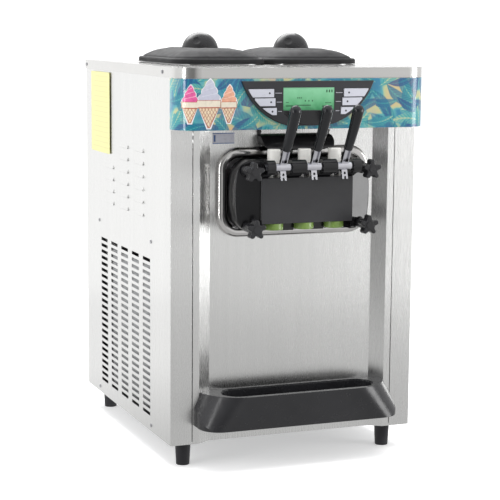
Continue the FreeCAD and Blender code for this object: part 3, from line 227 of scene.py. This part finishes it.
def moulded_plastic(name, colour, base_rough, grain=0.0, spread=0.25, edge=0.6 * MM, specular=0.5):
    """Moulded plastic: a fine spark-eroded grain, slight flow clouding and rubbed patches."""
    look = Look(name, Specular_IOR_Level=specular)
    clouds = look.noise(9.0, 3.0)
    grit = look.noise(1400.0, 2.0)
    rubs = look.noise(55.0, 5.0, distortion=0.4)
    pale = tuple(min(1.0, channel * (1.0 + spread) + 0.002) for channel in colour)
    dark = tuple(channel * (1.0 - spread * 0.5) for channel in colour)
    look.colour(look.mix(look.span(clouds, 0.3, 0.7, 0.0, 1.0), dark, pale))
    look.roughness(look.span(rubs, 0.35, 0.75, base_rough - 0.04, base_rough + 0.08))
    look.relief(grit, 0.02 * MM, 0.1 + grain, edge)
    return look.material


def painted_metal(name, colour, base_rough):
    """Enamelled or galvanised sheet: soft orange peel, spangle and dust."""
    look = Look(name, Metallic=0.35)
    peel = look.noise(420.0, 2.0)
    spangle = look.noise(26.0, 4.0, distortion=1.2)
    dusty = tuple(channel * 0.8 + 0.03 for channel in colour)
    look.colour(look.mix(look.span(spangle, 0.35, 0.65, 0.0, 1.0), colour, dusty))
    look.roughness(look.span(spangle, 0.3, 0.7, base_rough, base_rough + 0.15))
    look.relief(peel, 0.05 * MM, 0.4)
    return look.material


def rubber(name, colour):
    """Black rubber: matt, with a powdery bloom in patches."""
    look = Look(name, Specular_IOR_Level=0.4)
    bloom = look.noise(45.0, 5.0)
    grit = look.noise(900.0, 2.0)
    powdered = tuple(channel * 1.6 + 0.006 for channel in colour)
    look.colour(look.mix(look.span(bloom, 0.45, 0.75, 0.0, 1.0), colour, powdered))
    look.roughness(look.span(bloom, 0.3, 0.8, 0.32, 0.55))
    look.relief(grit, 0.06 * MM, 0.4)
    return look.material


VERTICAL_GRAIN = (1.0, 1.0, 0.02)
SIDEWAYS_GRAIN = (0.02, 1.0, 1.0)
MATERIALS = {
    "panel_steel": brushed_steel("panel_steel", (0.80, 0.80, 0.79), VERTICAL_GRAIN, 0.27, stretch=0.65),
    "deck_steel": brushed_steel("deck_steel", (0.68, 0.675, 0.66), SIDEWAYS_GRAIN, 0.18),
    "hopper_steel": brushed_steel("hopper_steel", (0.72, 0.72, 0.72), VERTICAL_GRAIN, 0.3),
    "polished_bead": polished_metal("polished_bead", (0.66, 0.65, 0.64), 0.1),
    # Painted shade: the inner steel is coloured near black so the cabinet's inside reads dark behind the vents.
    "inner_steel": painted_metal("inner_steel", (0.10, 0.105, 0.11), 0.45),
    "black_gloss": moulded_plastic("black_gloss", (0.010, 0.010, 0.011), 0.14),
    "black_satin": moulded_plastic("black_satin", (0.016, 0.016, 0.018), 0.24, 0.05),
    "slate_plastic": moulded_plastic("slate_plastic", (0.027, 0.027, 0.030), 0.5, 0.3),
    "bezel_plastic": moulded_plastic("bezel_plastic", (0.022, 0.022, 0.026), 0.42, 0.2),
    "button_white": moulded_plastic("button_white", (0.62, 0.63, 0.70), 0.3, spread=0.06),
    "piston_cream": moulded_plastic("piston_cream", (0.88, 0.87, 0.83), 0.35, spread=0.04),
    "nozzle_lime": moulded_plastic("nozzle_lime", (0.19, 0.30, 0.07), 0.28, spread=0.1),
    "lever_chrome": lever_metal(),
    "grip_black": moulded_plastic("grip_black", (0.008, 0.009, 0.011), 0.2),
    "foot_rubber": rubber("foot_rubber", (0.012, 0.012, 0.015)),
    "seal_rubber": rubber("seal_rubber", (0.03, 0.03, 0.03)),
    "screw_steel": polished_metal("screw_steel", (0.5, 0.5, 0.52), 0.22),
    "motor_grey": painted_metal("motor_grey", (0.12, 0.13, 0.15), 0.4),
    "compressor_black": painted_metal("compressor_black", (0.02, 0.02, 0.02), 0.35),
    "fin_alloy": brushed_steel("fin_alloy", (0.5, 0.51, 0.52), VERTICAL_GRAIN, 0.35, 0.0),
    "cast_alloy": brushed_steel("cast_alloy", (0.4, 0.4, 0.42), (1.0, 1.0, 1.0), 0.45, 0.0),
}


def screen_glow():
    """The lit display window: green, brighter above, with a fine grain."""
    look = Look("screen_green", Roughness=0.2, Emission_Strength=0.35)
    low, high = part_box("display_screen")
    rise = look.span(look.split(look.place)["Z"], low.z, high.z, 0.0, 1.0)
    clouds = look.noise(60.0, 2.0)
    level = look.math("ADD", rise, look.span(clouds, 0.3, 0.7, -0.1, 0.1))
    green = look.ramp(level, (0.0, (0.04, 0.19, 0.08)), (0.3, (0.10, 0.33, 0.16)), (1.0, (0.20, 0.48, 0.28)))
    look.colour(green)
    look.join(green, look.shader, "Emission Color")
    look.relief(look.noise(2500.0, 1.0), 0.01 * MM, 0.3)
    return look.material


MATERIALS["screen_green"] = screen_glow()


def paint(obj, material):
    """Gives the object this one material in every slot."""
    if not obj.data.materials:
        obj.data.materials.append(material)
    for index in range(len(obj.data.materials)):
        obj.data.materials[index] = material


def lid_plastic():
    """The lids' moulding: matt over the crown, rubbed to a gloss on the knob."""
    look = Look("lid_plastic", Specular_IOR_Level=0.5)
    knob_height, fade = 34.0 * MM, 6.0 * MM
    knob_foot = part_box("left_lid")[1].z - knob_height
    rubs = look.noise(55.0, 5.0, distortion=0.4)
    rough = look.span(look.split(look.place)["Z"], knob_foot, knob_foot + fade, 0.72, 0.3)
    look.roughness(look.math("ADD", rough, look.span(rubs, 0.35, 0.75, -0.05, 0.07)))
    clouds = look.span(look.noise(9.0, 3.0), 0.3, 0.7, 0.0, 1.0)
    look.colour(look.mix(clouds, (0.007, 0.007, 0.008), (0.011, 0.011, 0.012)))
    look.relief(look.noise(1400.0, 2.0), 0.02 * MM, 0.3, 0.6 * MM)
    return look.material


MATERIALS["lid_plastic"] = lid_plastic()
for node_name, node in NODES.items():
    paint(node, MATERIALS["lid_plastic" if node_name.endswith("_lid") else SLOT_OF_NODE[node_name]])


# ---------------------------------------------------------------- printed film, stickers and marks
HEAD_LOW, HEAD_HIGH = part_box("head_shell")
PANEL_LOW, PANEL_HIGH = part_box("control_panel")
SCREEN_LOW, SCREEN_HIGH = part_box("display_screen")
CORNER = 44.6 * MM
FLAT = HEAD_HIGH.x - CORNER
ARC = CORNER * math.pi / 2
FILM_END = FLAT + ARC + (HEAD_HIGH.y - HEAD_LOW.y - CORNER) - 0.3 * MM


def round_head(along, height, out):
    """A point out from the head's face, at a distance along that face from its middle and a height."""
    side = math.copysign(1.0, along)
    reach = abs(along)
    if reach <= FLAT:
        return Vector((along, HEAD_LOW.y - out, height))
    if reach <= FLAT + ARC:
        angle = (reach - FLAT) / CORNER
        x = FLAT + (CORNER + out) * math.sin(angle)
        return Vector((side * x, HEAD_LOW.y + CORNER - (CORNER + out) * math.cos(angle), height))
    return Vector((side * (HEAD_HIGH.x + out), HEAD_LOW.y + CORNER + reach - FLAT - ARC, height))


def flat_front(y):
    """Places a plate on a plane that faces forward, at a depth y."""
    return lambda across, height, out: Vector((across, y - out, height))


def plate(name, outlines, low, high, place, material, body="cabinet"):
    """Thin closed plates from flat outlines (across, height), between two distances out from a surface."""
    shape = bmesh.new()
    for outline in outlines:
        shape.faces.new([shape.verts.new((across, height, 0.0)) for across, height in outline])
    bmesh.ops.triangulate(shape, faces=shape.faces[:])
    reach = [vert.co.x for vert in shape.verts]
    if place is round_head and max(map(abs, reach)) > FLAT:
        cuts = 16
        for step in range(cuts + 1):
            for side in (-1, 1):
                across = side * (FLAT + ARC * step / cuts)
                if min(reach) < across < max(reach):
                    everything = shape.verts[:] + shape.edges[:] + shape.faces[:]
                    bmesh.ops.bisect_plane(shape, geom=everything, plane_co=(across, 0, 0),
                                           plane_no=(1, 0, 0))
    uv = shape.loops.layers.uv.new("print")
    grown = bmesh.ops.extrude_face_region(shape, geom=shape.faces[:])
    upper = {item for item in grown["geom"] if isinstance(item, bmesh.types.BMVert)}
    for face in shape.faces:
        for loop in face.loops:
            loop[uv].uv = (loop.vert.co.x, loop.vert.co.y)
    for vert in shape.verts:
        vert.co = place(vert.co.x, vert.co.y, high if vert in upper else low)
    bmesh.ops.recalc_face_normals(shape, faces=shape.faces[:])
    mesh = bpy.data.meshes.new(name)
    shape.to_mesh(mesh)
    shape.free()
    piece = bpy.data.objects.new(name, mesh)
    bpy.context.scene.collection.objects.link(piece)
    paint(piece, material)
    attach(piece, body)
    return piece


def rectangle(left, right, low, high):
    return [(left, low), (right, low), (right, high), (left, high)]


def rounded_rectangle(left, right, low, high, radius, steps=5):
    points = []
    corners = ((right, low, -90), (right, high, 0), (left, high, 90), (left, low, 180))
    for x, z, start in corners:
        inner_x = x - math.copysign(radius, x - (left + right) / 2)
        inner_z = z - math.copysign(radius, z - (low + high) / 2)
        for step in range(steps + 1):
            angle = math.radians(start + 90 * step / steps)
            points.append((inner_x + radius * math.cos(angle), inner_z + radius * math.sin(angle)))
    return points


def print_coordinates(look):
    node = look.add("ShaderNodeUVMap", uv_map="print")
    return node.outputs[0]


def leaf_layer(look, place, size, shift, spread):
    """One scatter of long leaves: (mask, shade along and across the leaf, a random number for each leaf)."""
    moved = look.add("ShaderNodeMapping")
    look.join(place, moved, "Vector")
    moved.inputs["Location"].default_value = shift
    moved.inputs["Scale"].default_value = (1 / size, 1 / size, 1.0)
    cells = look.add("ShaderNodeTexVoronoi", voronoi_dimensions="2D")
    look.join(moved.outputs[0], cells, "Vector")
    cells.inputs["Scale"].default_value = 1.0
    cells.inputs["Randomness"].default_value = 0.85
    away = look.add("ShaderNodeVectorMath", operation="SUBTRACT")
    look.join(moved.outputs[0], away, 0)
    look.join(cells.outputs["Position"], away, 1)
    chance = look.add("ShaderNodeSeparateColor")
    look.join(cells.outputs["Color"], chance, 0)
    turn = look.add("ShaderNodeVectorRotate", rotation_type="Z_AXIS")
    look.join(away.outputs[0], turn, "Vector")
    look.join(look.math("MULTIPLY", chance.outputs[0], 2 * math.pi), turn, "Angle")
    along, across, _ = look.split(turn.outputs[0])
    squared = look.math("POWER", along, 2.0)
    across = look.math("SUBTRACT", across, look.math("MULTIPLY", squared, 0.35))
    width = look.math("SUBTRACT", spread, look.math("MULTIPLY", squared, spread / 0.42))
    side = look.math("ABSOLUTE", across)
    mask = look.span(look.math("SUBTRACT", width, side), 0.0, 0.03, 0.0, 1.0)
    slant = look.math("ADD", along, look.math("MULTIPLY", side, -1.2))
    ribs = look.math("SINE", look.math("MULTIPLY", slant, 55.0))
    spine = look.span(side, 0.0, 0.035, 0.35, 0.0)
    shade = look.math("ADD", look.span(ribs, -1.0, 1.0, -0.1, 0.1), spine)
    shade = look.math("ADD", shade, look.span(along, -0.6, 0.6, -0.22, 0.22))
    return mask, shade, chance.outputs[1]


def leaf_print():
    """A generic leaf print: overlapping blue, teal and pale green leaves on a wash from blue to sand."""
    look = Look("leaf_print", Roughness=0.22, Coat_Weight=0.5, Coat_Roughness=0.08)
    place = print_coordinates(look)
    wash = look.noise(17.0, 2.0, place, 0.6)
    colour = look.ramp(wash, (0.38, (0.03, 0.22, 0.36)), (0.50, (0.10, 0.40, 0.42)),
                       (0.58, (0.50, 0.56, 0.30)), (0.72, (0.70, 0.46, 0.24)))
    greens = ((0.0, (0.015, 0.06, 0.22)), (0.25, (0.01, 0.14, 0.27)), (0.5, (0.02, 0.24, 0.30)),
              (0.7, (0.05, 0.36, 0.38)), (0.88, (0.16, 0.46, 0.36)), (1.0, (0.45, 0.56, 0.34)))
    layers = ((74 * MM, (0.3, 0.1, 0), 0.24), (60 * MM, (3.7, 1.9, 0), 0.20), (66 * MM, (7.1, 5.3, 0), 0.18),
              (52 * MM, (1.9, 8.4, 0), 0.18))
    for size, shift, spread in layers:
        mask, shade, chance = leaf_layer(look, place, size, shift, spread)
        tone = look.math("ADD", look.math("MULTIPLY", chance, 0.75), look.math("ADD", shade, 0.1))
        colour = look.mix(look.math("MULTIPLY", mask, 0.85), colour, look.ramp(tone, *greens))
    tint = look.noise(16.0, 2.0, place)
    colour = look.mix(look.span(tint, 0.58, 0.72, 0.0, 0.35), colour, (0.42, 0.25, 0.45))
    look.colour(colour)
    look.relief(look.noise(1500.0, 2.0), 0.01 * MM, 0.3)
    return look.material


def printed(name, colour, spread=0.12, rough=0.3):
    """Flat printed ink or vinyl: soft mottling and a little unevenness of gloss."""
    look = Look(name, Coat_Weight=0.3, Coat_Roughness=0.1)
    mottle = look.noise(160.0, 3.0)
    pale = tuple(min(1.0, channel * (1 + spread)) for channel in colour)
    dark = tuple(channel * (1 - spread) for channel in colour)
    look.colour(look.mix(look.span(mottle, 0.3, 0.7, 0.0, 1.0), dark, pale))
    look.roughness(look.span(mottle, 0.3, 0.7, rough - 0.05, rough + 0.08))
    return look.material


def waffle_print():
    """Cream wafer crossed by two sets of thin brown lines."""
    look = Look("waffle_print", Roughness=0.35)
    place = print_coordinates(look)
    across, height, _ = look.split(place)
    pitch = 11.0 * MM
    line = 0.0
    for lean in (-1.7, 1.7):
        slope = look.math("ADD", look.math("MULTIPLY", across, lean), height)
        wave = look.math("ABSOLUTE", look.math("SINE", look.math("MULTIPLY", slope, math.pi / pitch)))
        line = look.math("MAXIMUM", line, look.span(wave, 0.12, 0.32, 1.0, 0.0))
    toast = look.noise(120.0, 3.0, place)
    wafer = look.mix(look.span(toast, 0.35, 0.7, 0.0, 1.0), (0.86, 0.74, 0.55), (0.80, 0.58, 0.38))
    look.colour(look.mix(line, wafer, (0.34, 0.09, 0.05)))
    return look.material


def make_film():
    """The printed film round the head.

    Known fault: the outline should leave the area behind the control panel open, but its left flank is listed
    from the top down, so it crosses itself and the film lies two or three layers deep there, out of sight.
    """
    tuck, slit = 3.0 * MM, 0.01 * MM
    film_low, film_top = HEAD_LOW.z + 0.3 * MM, HEAD_HIGH.z - 0.4 * MM
    hole_low, hole_top = PANEL_LOW.z + tuck, PANEL_HIGH.z - tuck
    panel_foot, panel_half = 41.0 * MM, PANEL_HIGH.x
    steps = 12
    flank = []
    for step in range(steps, -1, -1):
        share = step / steps
        x = panel_foot - tuck + (panel_half - panel_foot) * share ** 0.62
        flank.append((x, hole_low + (hole_top - hole_low) * share ** 1.05))
    outline = [(-FILM_END, film_low), (FILM_END, film_low), (FILM_END, film_top)]
    outline += [(0.0, film_top), (0.0, hole_top)]
    outline += flank + [(tuck - panel_foot, hole_low)] + [(-x, z) for x, z in flank[:-1]]
    outline += [(-slit, hole_top), (-slit, film_top), (-FILM_END, film_top)]
    plate("decor_film", [outline], 0.02 * MM, 0.18 * MM, round_head, leaf_print())


def swirl_outline(middle, low, tip, half):
    """A soft serve swirl in three scalloped tiers up to a leaning point."""
    right, left = [], []
    steps = 24
    for step in range(steps + 1):
        share = step / steps
        scallop = 0.82 + 0.18 * abs(math.sin(3 * math.pi * share))
        wide = half * (1 - share) ** 0.72 * scallop
        lean = 0.12 * half * share
        z = low + (tip - low) * share
        right.append((middle + wide + lean, z))
        left.append((middle - wide + lean, z))
    return right[:-1] + list(reversed(left))


def cone_outline(middle, top, low, half, blunt):
    return [(middle - half, top), (middle - blunt, low), (middle + blunt, low), (middle + half, top)]


def make_cone(ink, middle, tip, swirl_low, band_low, low, half):
    """One generic cone sticker: white border, swirl, plain band and waffle point, as thin layers."""

    def layer(name, outlines, near, far, print_name):
        plate(f"{ink}_cone_{name}", outlines, near * MM, far * MM, round_head, PRINTS[print_name])

    border = 2.2 * MM
    border_top = swirl_outline(middle, swirl_low - border, tip + border, half + border)
    layer("border_top", [border_top], 0.2, 0.32, "white")
    border_low = cone_outline(middle, swirl_low, low - border, half + border, 4.5 * MM)
    layer("border_low", [border_low], 0.2, 0.3, "white")
    layer("swirl", [swirl_outline(middle, swirl_low, tip, half)], 0.3, 0.4, ink)
    streaks = []
    for rise in (0.14, 0.42, 0.66):
        base = swirl_low + (tip - swirl_low) * rise
        reach = half * (1 - rise) ** 0.8 * 0.8
        lift = (tip - swirl_low) * 0.16
        streaks.append([(middle - reach, base), (middle + reach * 0.9, base + lift),
                        (middle + reach * 0.95, base + lift + 1.8 * MM), (middle - reach, base + 1.0 * MM)])
    layer("streaks", streaks, 0.38, 0.46, f"{ink}_light")
    line = 1.0 * MM
    wide = half * 0.86
    edge = cone_outline(middle, band_low, low, wide, 2.2 * MM)
    inner = cone_outline(middle, band_low - line, low + 1.6 * line, wide - 1.4 * line, 1.0 * MM)
    layer("wafer_edge", [edge], 0.3, 0.38, "brown")
    layer("wafer", [inner], 0.37, 0.44, "waffle")
    band = rectangle(middle - half, middle + half, band_low, swirl_low)
    inset = rectangle(middle - half + line, middle + half - line, band_low + line, swirl_low - line)
    layer("band_edge", [band], 0.37, 0.5, "brown")
    layer("band", [inset], 0.49, 0.58, "cream")


PRINTS = {
    "white": printed("white_vinyl", (0.85, 0.85, 0.87), 0.03),
    "brown": printed("brown_ink", (0.50, 0.14, 0.08)),
    "cream": printed("cream_ink", (0.84, 0.76, 0.62), 0.06),
    "waffle": waffle_print(),
    "rose": printed("rose_ink", (0.76, 0.12, 0.34)),
    "rose_light": printed("rose_light_ink", (0.90, 0.42, 0.58)),
    "lilac": printed("lilac_ink", (0.56, 0.57, 0.68), 0.05),
    "lilac_light": printed("lilac_light_ink", (0.66, 0.67, 0.76), 0.04),
    "apricot": printed("apricot_ink", (0.80, 0.40, 0.27)),
    "apricot_light": printed("apricot_light_ink", (0.90, 0.60, 0.46)),
    "blue": printed("blue_ink", (0.05, 0.13, 0.36)),
    "yellow": printed("yellow_vinyl", (0.77, 0.75, 0.30), 0.03, 0.4),
    "yellow_line": printed("yellow_line_ink", (0.70, 0.67, 0.27), 0.03, 0.4),
    "segment": printed("segment_ink", (0.02, 0.09, 0.04)),
    "pale_mark": printed("pale_mark_ink", (0.45, 0.45, 0.5)),
    "dark_mark": printed("dark_mark_ink", (0.02, 0.02, 0.03)),
}


def make_cones():
    """Three cones on the band.

    A row is an ink, then in millimetres: middle, tip, swirl foot, band foot, point and half width.
    """
    rows = (
        ("rose", -240, 755, 724, 712, 684, 16.5),
        ("apricot", -163, 755, 724, 712, 684, 16.5),
        ("lilac", -203, 766, 727, 713, 674.5, 24.0),
    )
    for ink, *sizes in rows:
        make_cone(ink, *(size * MM for size in sizes))


def make_side_label():
    """A blank pale yellow sticker with faint ruled lines, high on the left side."""
    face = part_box("left_side_panel")[0].x
    back, front, low, high = 321 * MM, 181 * MM, 590 * MM, 764 * MM

    def on_side(across, height, out):
        return Vector((face - out, across, height))

    outline = rounded_rectangle(front, back, low, high, 4 * MM)
    plate("side_label", [outline], 0.02 * MM, 0.2 * MM, on_side, PRINTS["yellow"])
    rules = []
    rows = 15
    for row in range(rows):
        z = low + (high - low) * (row + 1) / (rows + 1)
        rules.append(rectangle(front + 12 * MM, back - (12 + 9 * (row % 3)) * MM, z, z + 2.2 * MM))
    plate("side_label_rules", rules, 0.19 * MM, 0.26 * MM, on_side, PRINTS["yellow_line"])


def make_front_label():
    """A small plain label beside the door: two blue bars and a blue block on a pale ground."""
    recess, bar, margin = 16.7 * MM, 1.6 * MM, 4 * MM
    face = flat_front(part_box("front_panel")[0].y + recess)
    left, right, low, high = -169 * MM, -124 * MM, 639 * MM, 660 * MM
    plate("front_label", [rounded_rectangle(left, right, low, high, 1 * MM)], 0.02 * MM, 0.15 * MM, face,
          PRINTS["lilac_light"])
    bars = [rectangle(left, right, low, low + bar), rectangle(left, right, high - bar, high)]
    bars.append(rectangle(left + 2 * MM, left + 6 * MM, low + margin, high - margin))
    plate("front_label_bars", bars, 0.14 * MM, 0.2 * MM, face, PRINTS["blue"])


def make_screen_marks():
    """Unlit segments and rules on the display: plain blocks, no figures."""
    face = flat_front(SCREEN_LOW.y)
    wide, tall = SCREEN_HIGH.x - SCREEN_LOW.x, SCREEN_HIGH.z - SCREEN_LOW.z

    def block(left, low, width, height):
        x, z = SCREEN_LOW.x + wide * left, SCREEN_LOW.z + tall * low
        return rectangle(x, x + wide * width, z, z + tall * height)

    blocks = [block(0.84 + 0.05 * index, 0.78, 0.025, 0.12) for index in range(3)]
    blocks += [block(0.27 + 0.035 * index, 0.52, 0.022, 0.05) for index in range(3)]
    blocks += [block(0.42 + 0.07 * index, 0.38, 0.02, 0.07) for index in range(3)]
    blocks += [block(0.24, 0.20, 0.3, 0.04), block(0.05, 0.17, 0.14, 0.05), block(0.76, 0.14, 0.2, 0.06)]
    blocks += [block(0.05, 0.33, 0.06, 0.03), block(0.82, 0.30, 0.12, 0.03)]
    plate("display_segments", blocks, 0.01 * MM, 0.06 * MM, face, PRINTS["segment"])


def make_panel_marks():
    """The gloss tab under the display, a dash beside each button, and a plain mark on each button."""
    face = flat_front(PANEL_LOW.y)
    half, top, low = 51 * MM, SCREEN_LOW.z - 1.5 * MM, PANEL_LOW.z + 2.2 * MM
    lip, taper, foot = 6 * MM, 16 * MM, 18 * MM
    shoulder = top - lip
    flank = [(half, top), (half, shoulder)]
    for share in (0.3, 0.6, 0.85):
        flank.append((half - taper * share, shoulder - (shoulder - low) * share ** 1.6))
    flank.append((half - foot, low))
    tab = [(-x, z) for x, z in flank] + flank[::-1]
    plate("display_tab", [tab], 0.02 * MM, 0.3 * MM, face, MATERIALS["black_gloss"])
    gap, thick, radius = 3 * MM, 1.2 * MM, 1.9 * MM
    dashes = []
    for side, height in itertools.product(("left", "right"), ("upper", "middle", "lower")):
        button = f"{side}_{height}_button"
        low_corner, high_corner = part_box(button)
        z = (low_corner.z + high_corner.z) / 2
        if side == "left":
            start, end = high_corner.x + gap, SCREEN_LOW.x - gap
            centre = high_corner.x - 9 * MM
        else:
            start, end = SCREEN_HIGH.x + gap, low_corner.x - gap
            centre = low_corner.x + 10 * MM
        dashes.append(rectangle(start, end, z - thick / 2, z + thick / 2))
        angles = [math.radians(30 * turn) for turn in range(12)]
        dot = [(centre + radius * math.cos(angle), z + radius * math.sin(angle)) for angle in angles]
        plate(f"{button}_mark", [dot], 0.01 * MM, 0.1 * MM, flat_front(low_corner.y), PRINTS["dark_mark"],
              button)
    plate("panel_dashes", dashes, 0.02 * MM, 0.12 * MM, face, PRINTS["pale_mark"])


make_film()
make_cones()
make_side_label()
make_front_label()
make_screen_marks()
make_panel_marks()

# ---------------------------------------------------------------- camera, light and floor


def make_camera():
    """The camera: level with the machine's top, in front and to the left, through a long lens."""
    place = Vector((-1.20724, -3.02364, 0.87095))
    yaw, pitch, roll = (math.radians(angle) for angle in (21.612, 8.303, 0.473))
    forward = Vector((math.sin(yaw) * math.cos(pitch), math.cos(yaw) * math.cos(pitch), -math.sin(pitch)))
    level_right = forward.cross(Vector((0, 0, 1))).normalized()
    level_up = level_right.cross(forward)
    right = level_right * math.cos(roll) + level_up * math.sin(roll)
    up = level_up * math.cos(roll) - level_right * math.sin(roll)
    data = bpy.data.cameras.new("camera")
    data.lens = 112.005
    data.sensor_width = 36.0
    data.clip_end = 100.0
    camera = bpy.data.objects.new("camera", data)
    bpy.context.scene.collection.objects.link(camera)
    turn = Matrix((right, up, -forward)).transposed().to_4x4()
    camera.matrix_world = Matrix.Translation(place) @ turn
    bpy.context.scene.camera = camera


def make_floor():
    """A plain pale floor just under the feet.

    The camera sees its colour. What reaches the machine from it is a light that grows towards the back.
    """
    mesh = bpy.data.meshes.new("floor")
    shape = bmesh.new()
    bmesh.ops.create_circle(shape, cap_ends=True, segments=96, radius=1.9)
    bmesh.ops.translate(shape, verts=shape.verts, vec=(0, 0, cad_low.z - 0.2 * MM))
    shape.to_mesh(mesh)
    shape.free()
    floor = bpy.data.objects.new("floor", mesh)
    bpy.context.scene.collection.objects.link(floor)
    look = Look("floor", Roughness=0.7, Emission_Color=(1.0, 1.0, 1.0, 1.0), Emission_Strength=0.42)
    look.colour(look.mix(look.noise(3.0, 3.0), (0.86, 0.86, 0.86), (0.9, 0.9, 0.9)))
    dimmer = look.add("ShaderNodeEmission")
    look.join(look.span(look.split(look.place)["Y"], -0.3, 0.7, 0.56, 1.05), dimmer, "Strength")
    path = look.add("ShaderNodeLightPath")
    either = look.add("ShaderNodeMixShader")
    look.links.new(path.outputs["Is Camera Ray"], either.inputs[0])
    look.links.new(dimmer.outputs[0], either.inputs[1])
    look.links.new(look.shader.outputs[0], either.inputs[2])
    look.links.new(either.outputs[0], look.nodes["Material Output"].inputs[0])
    paint(floor, look.material)


def make_world():
    """A studio: bright behind, dimmer at the sides, dark round the camera and to its left, pale overhead.

    The camera itself sees plain white.
    """
    world = bpy.data.worlds.new("studio")
    world.use_nodes = True
    bpy.context.scene.world = world
    studio = Graph(world.node_tree)
    x, y, z = studio.split(studio.add("ShaderNodeTexCoord").outputs["Generated"])
    turn = studio.math("ARCTAN2", x, studio.math("MULTIPLY", y, -1.0))
    levels = (
        (0.00, 0.85), (0.12, 0.85), (0.18, 0.70), (0.29, 0.70), (0.34, 0.22), (0.45, 0.15),
        (0.50, 0.40), (0.56, 0.55), (0.68, 0.62), (0.80, 0.66), (1.00, 0.82),
    )
    stops = [(position, (level, level, level)) for position, level in levels]
    walls = studio.ramp(studio.span(turn, -math.pi, math.pi, 0.0, 1.0), *stops)
    room = studio.mix(studio.span(z, 0.35, 0.8, 0.0, 1.0), walls, (0.68, 0.68, 0.69))
    path = studio.add("ShaderNodeLightPath")
    background = studio.nodes["Background"]
    studio.join(studio.mix(path.outputs["Is Camera Ray"], room, (1.0, 1.0, 1.0)), background, "Color")
    background.inputs["Strength"].default_value = 1.4


def softbox(name, place, aim, size, power, mirrored=True):
    """A rectangular light aimed at a point. One that isn't mirrored leaves no reflection of its own."""
    data = bpy.data.lights.new(name, "AREA")
    data.shape = "RECTANGLE"
    data.size, data.size_y = size
    data.energy = power
    light = bpy.data.objects.new(name, data)
    bpy.context.scene.collection.objects.link(light)
    light.visible_glossy = mirrored
    light.location = place
    light.rotation_mode = "QUATERNION"
    light.rotation_quaternion = (Vector(aim) - Vector(place)).to_track_quat("-Z", "Y")


make_camera()
make_floor()
make_world()
softbox("overhead_softbox", (0.0, -0.3, 2.6), (0.0, 0.0, 0.3), (2.4, 2.0), 60.0, False)
softbox("back_softbox", (0.0, 1.5, 2.2), (0.0, 0.0, 0.8), (2.2, 1.2), 40.0)
softbox("left_softbox", (-2.4, -0.7, 1.1), (0.0, 0.0, 0.4), (0.9, 1.8), 12.0, False)
softbox("strip_softbox", (-2.1, -1.05, 0.7), (0.0, -0.25, 0.45), (0.16, 1.5), 9.0)
softbox("right_softbox", (2.1, -1.45, 0.5), (0.0, -0.2, 0.5), (0.9, 1.4), 22.0)
bpy.context.scene.view_settings.view_transform = "Standard"
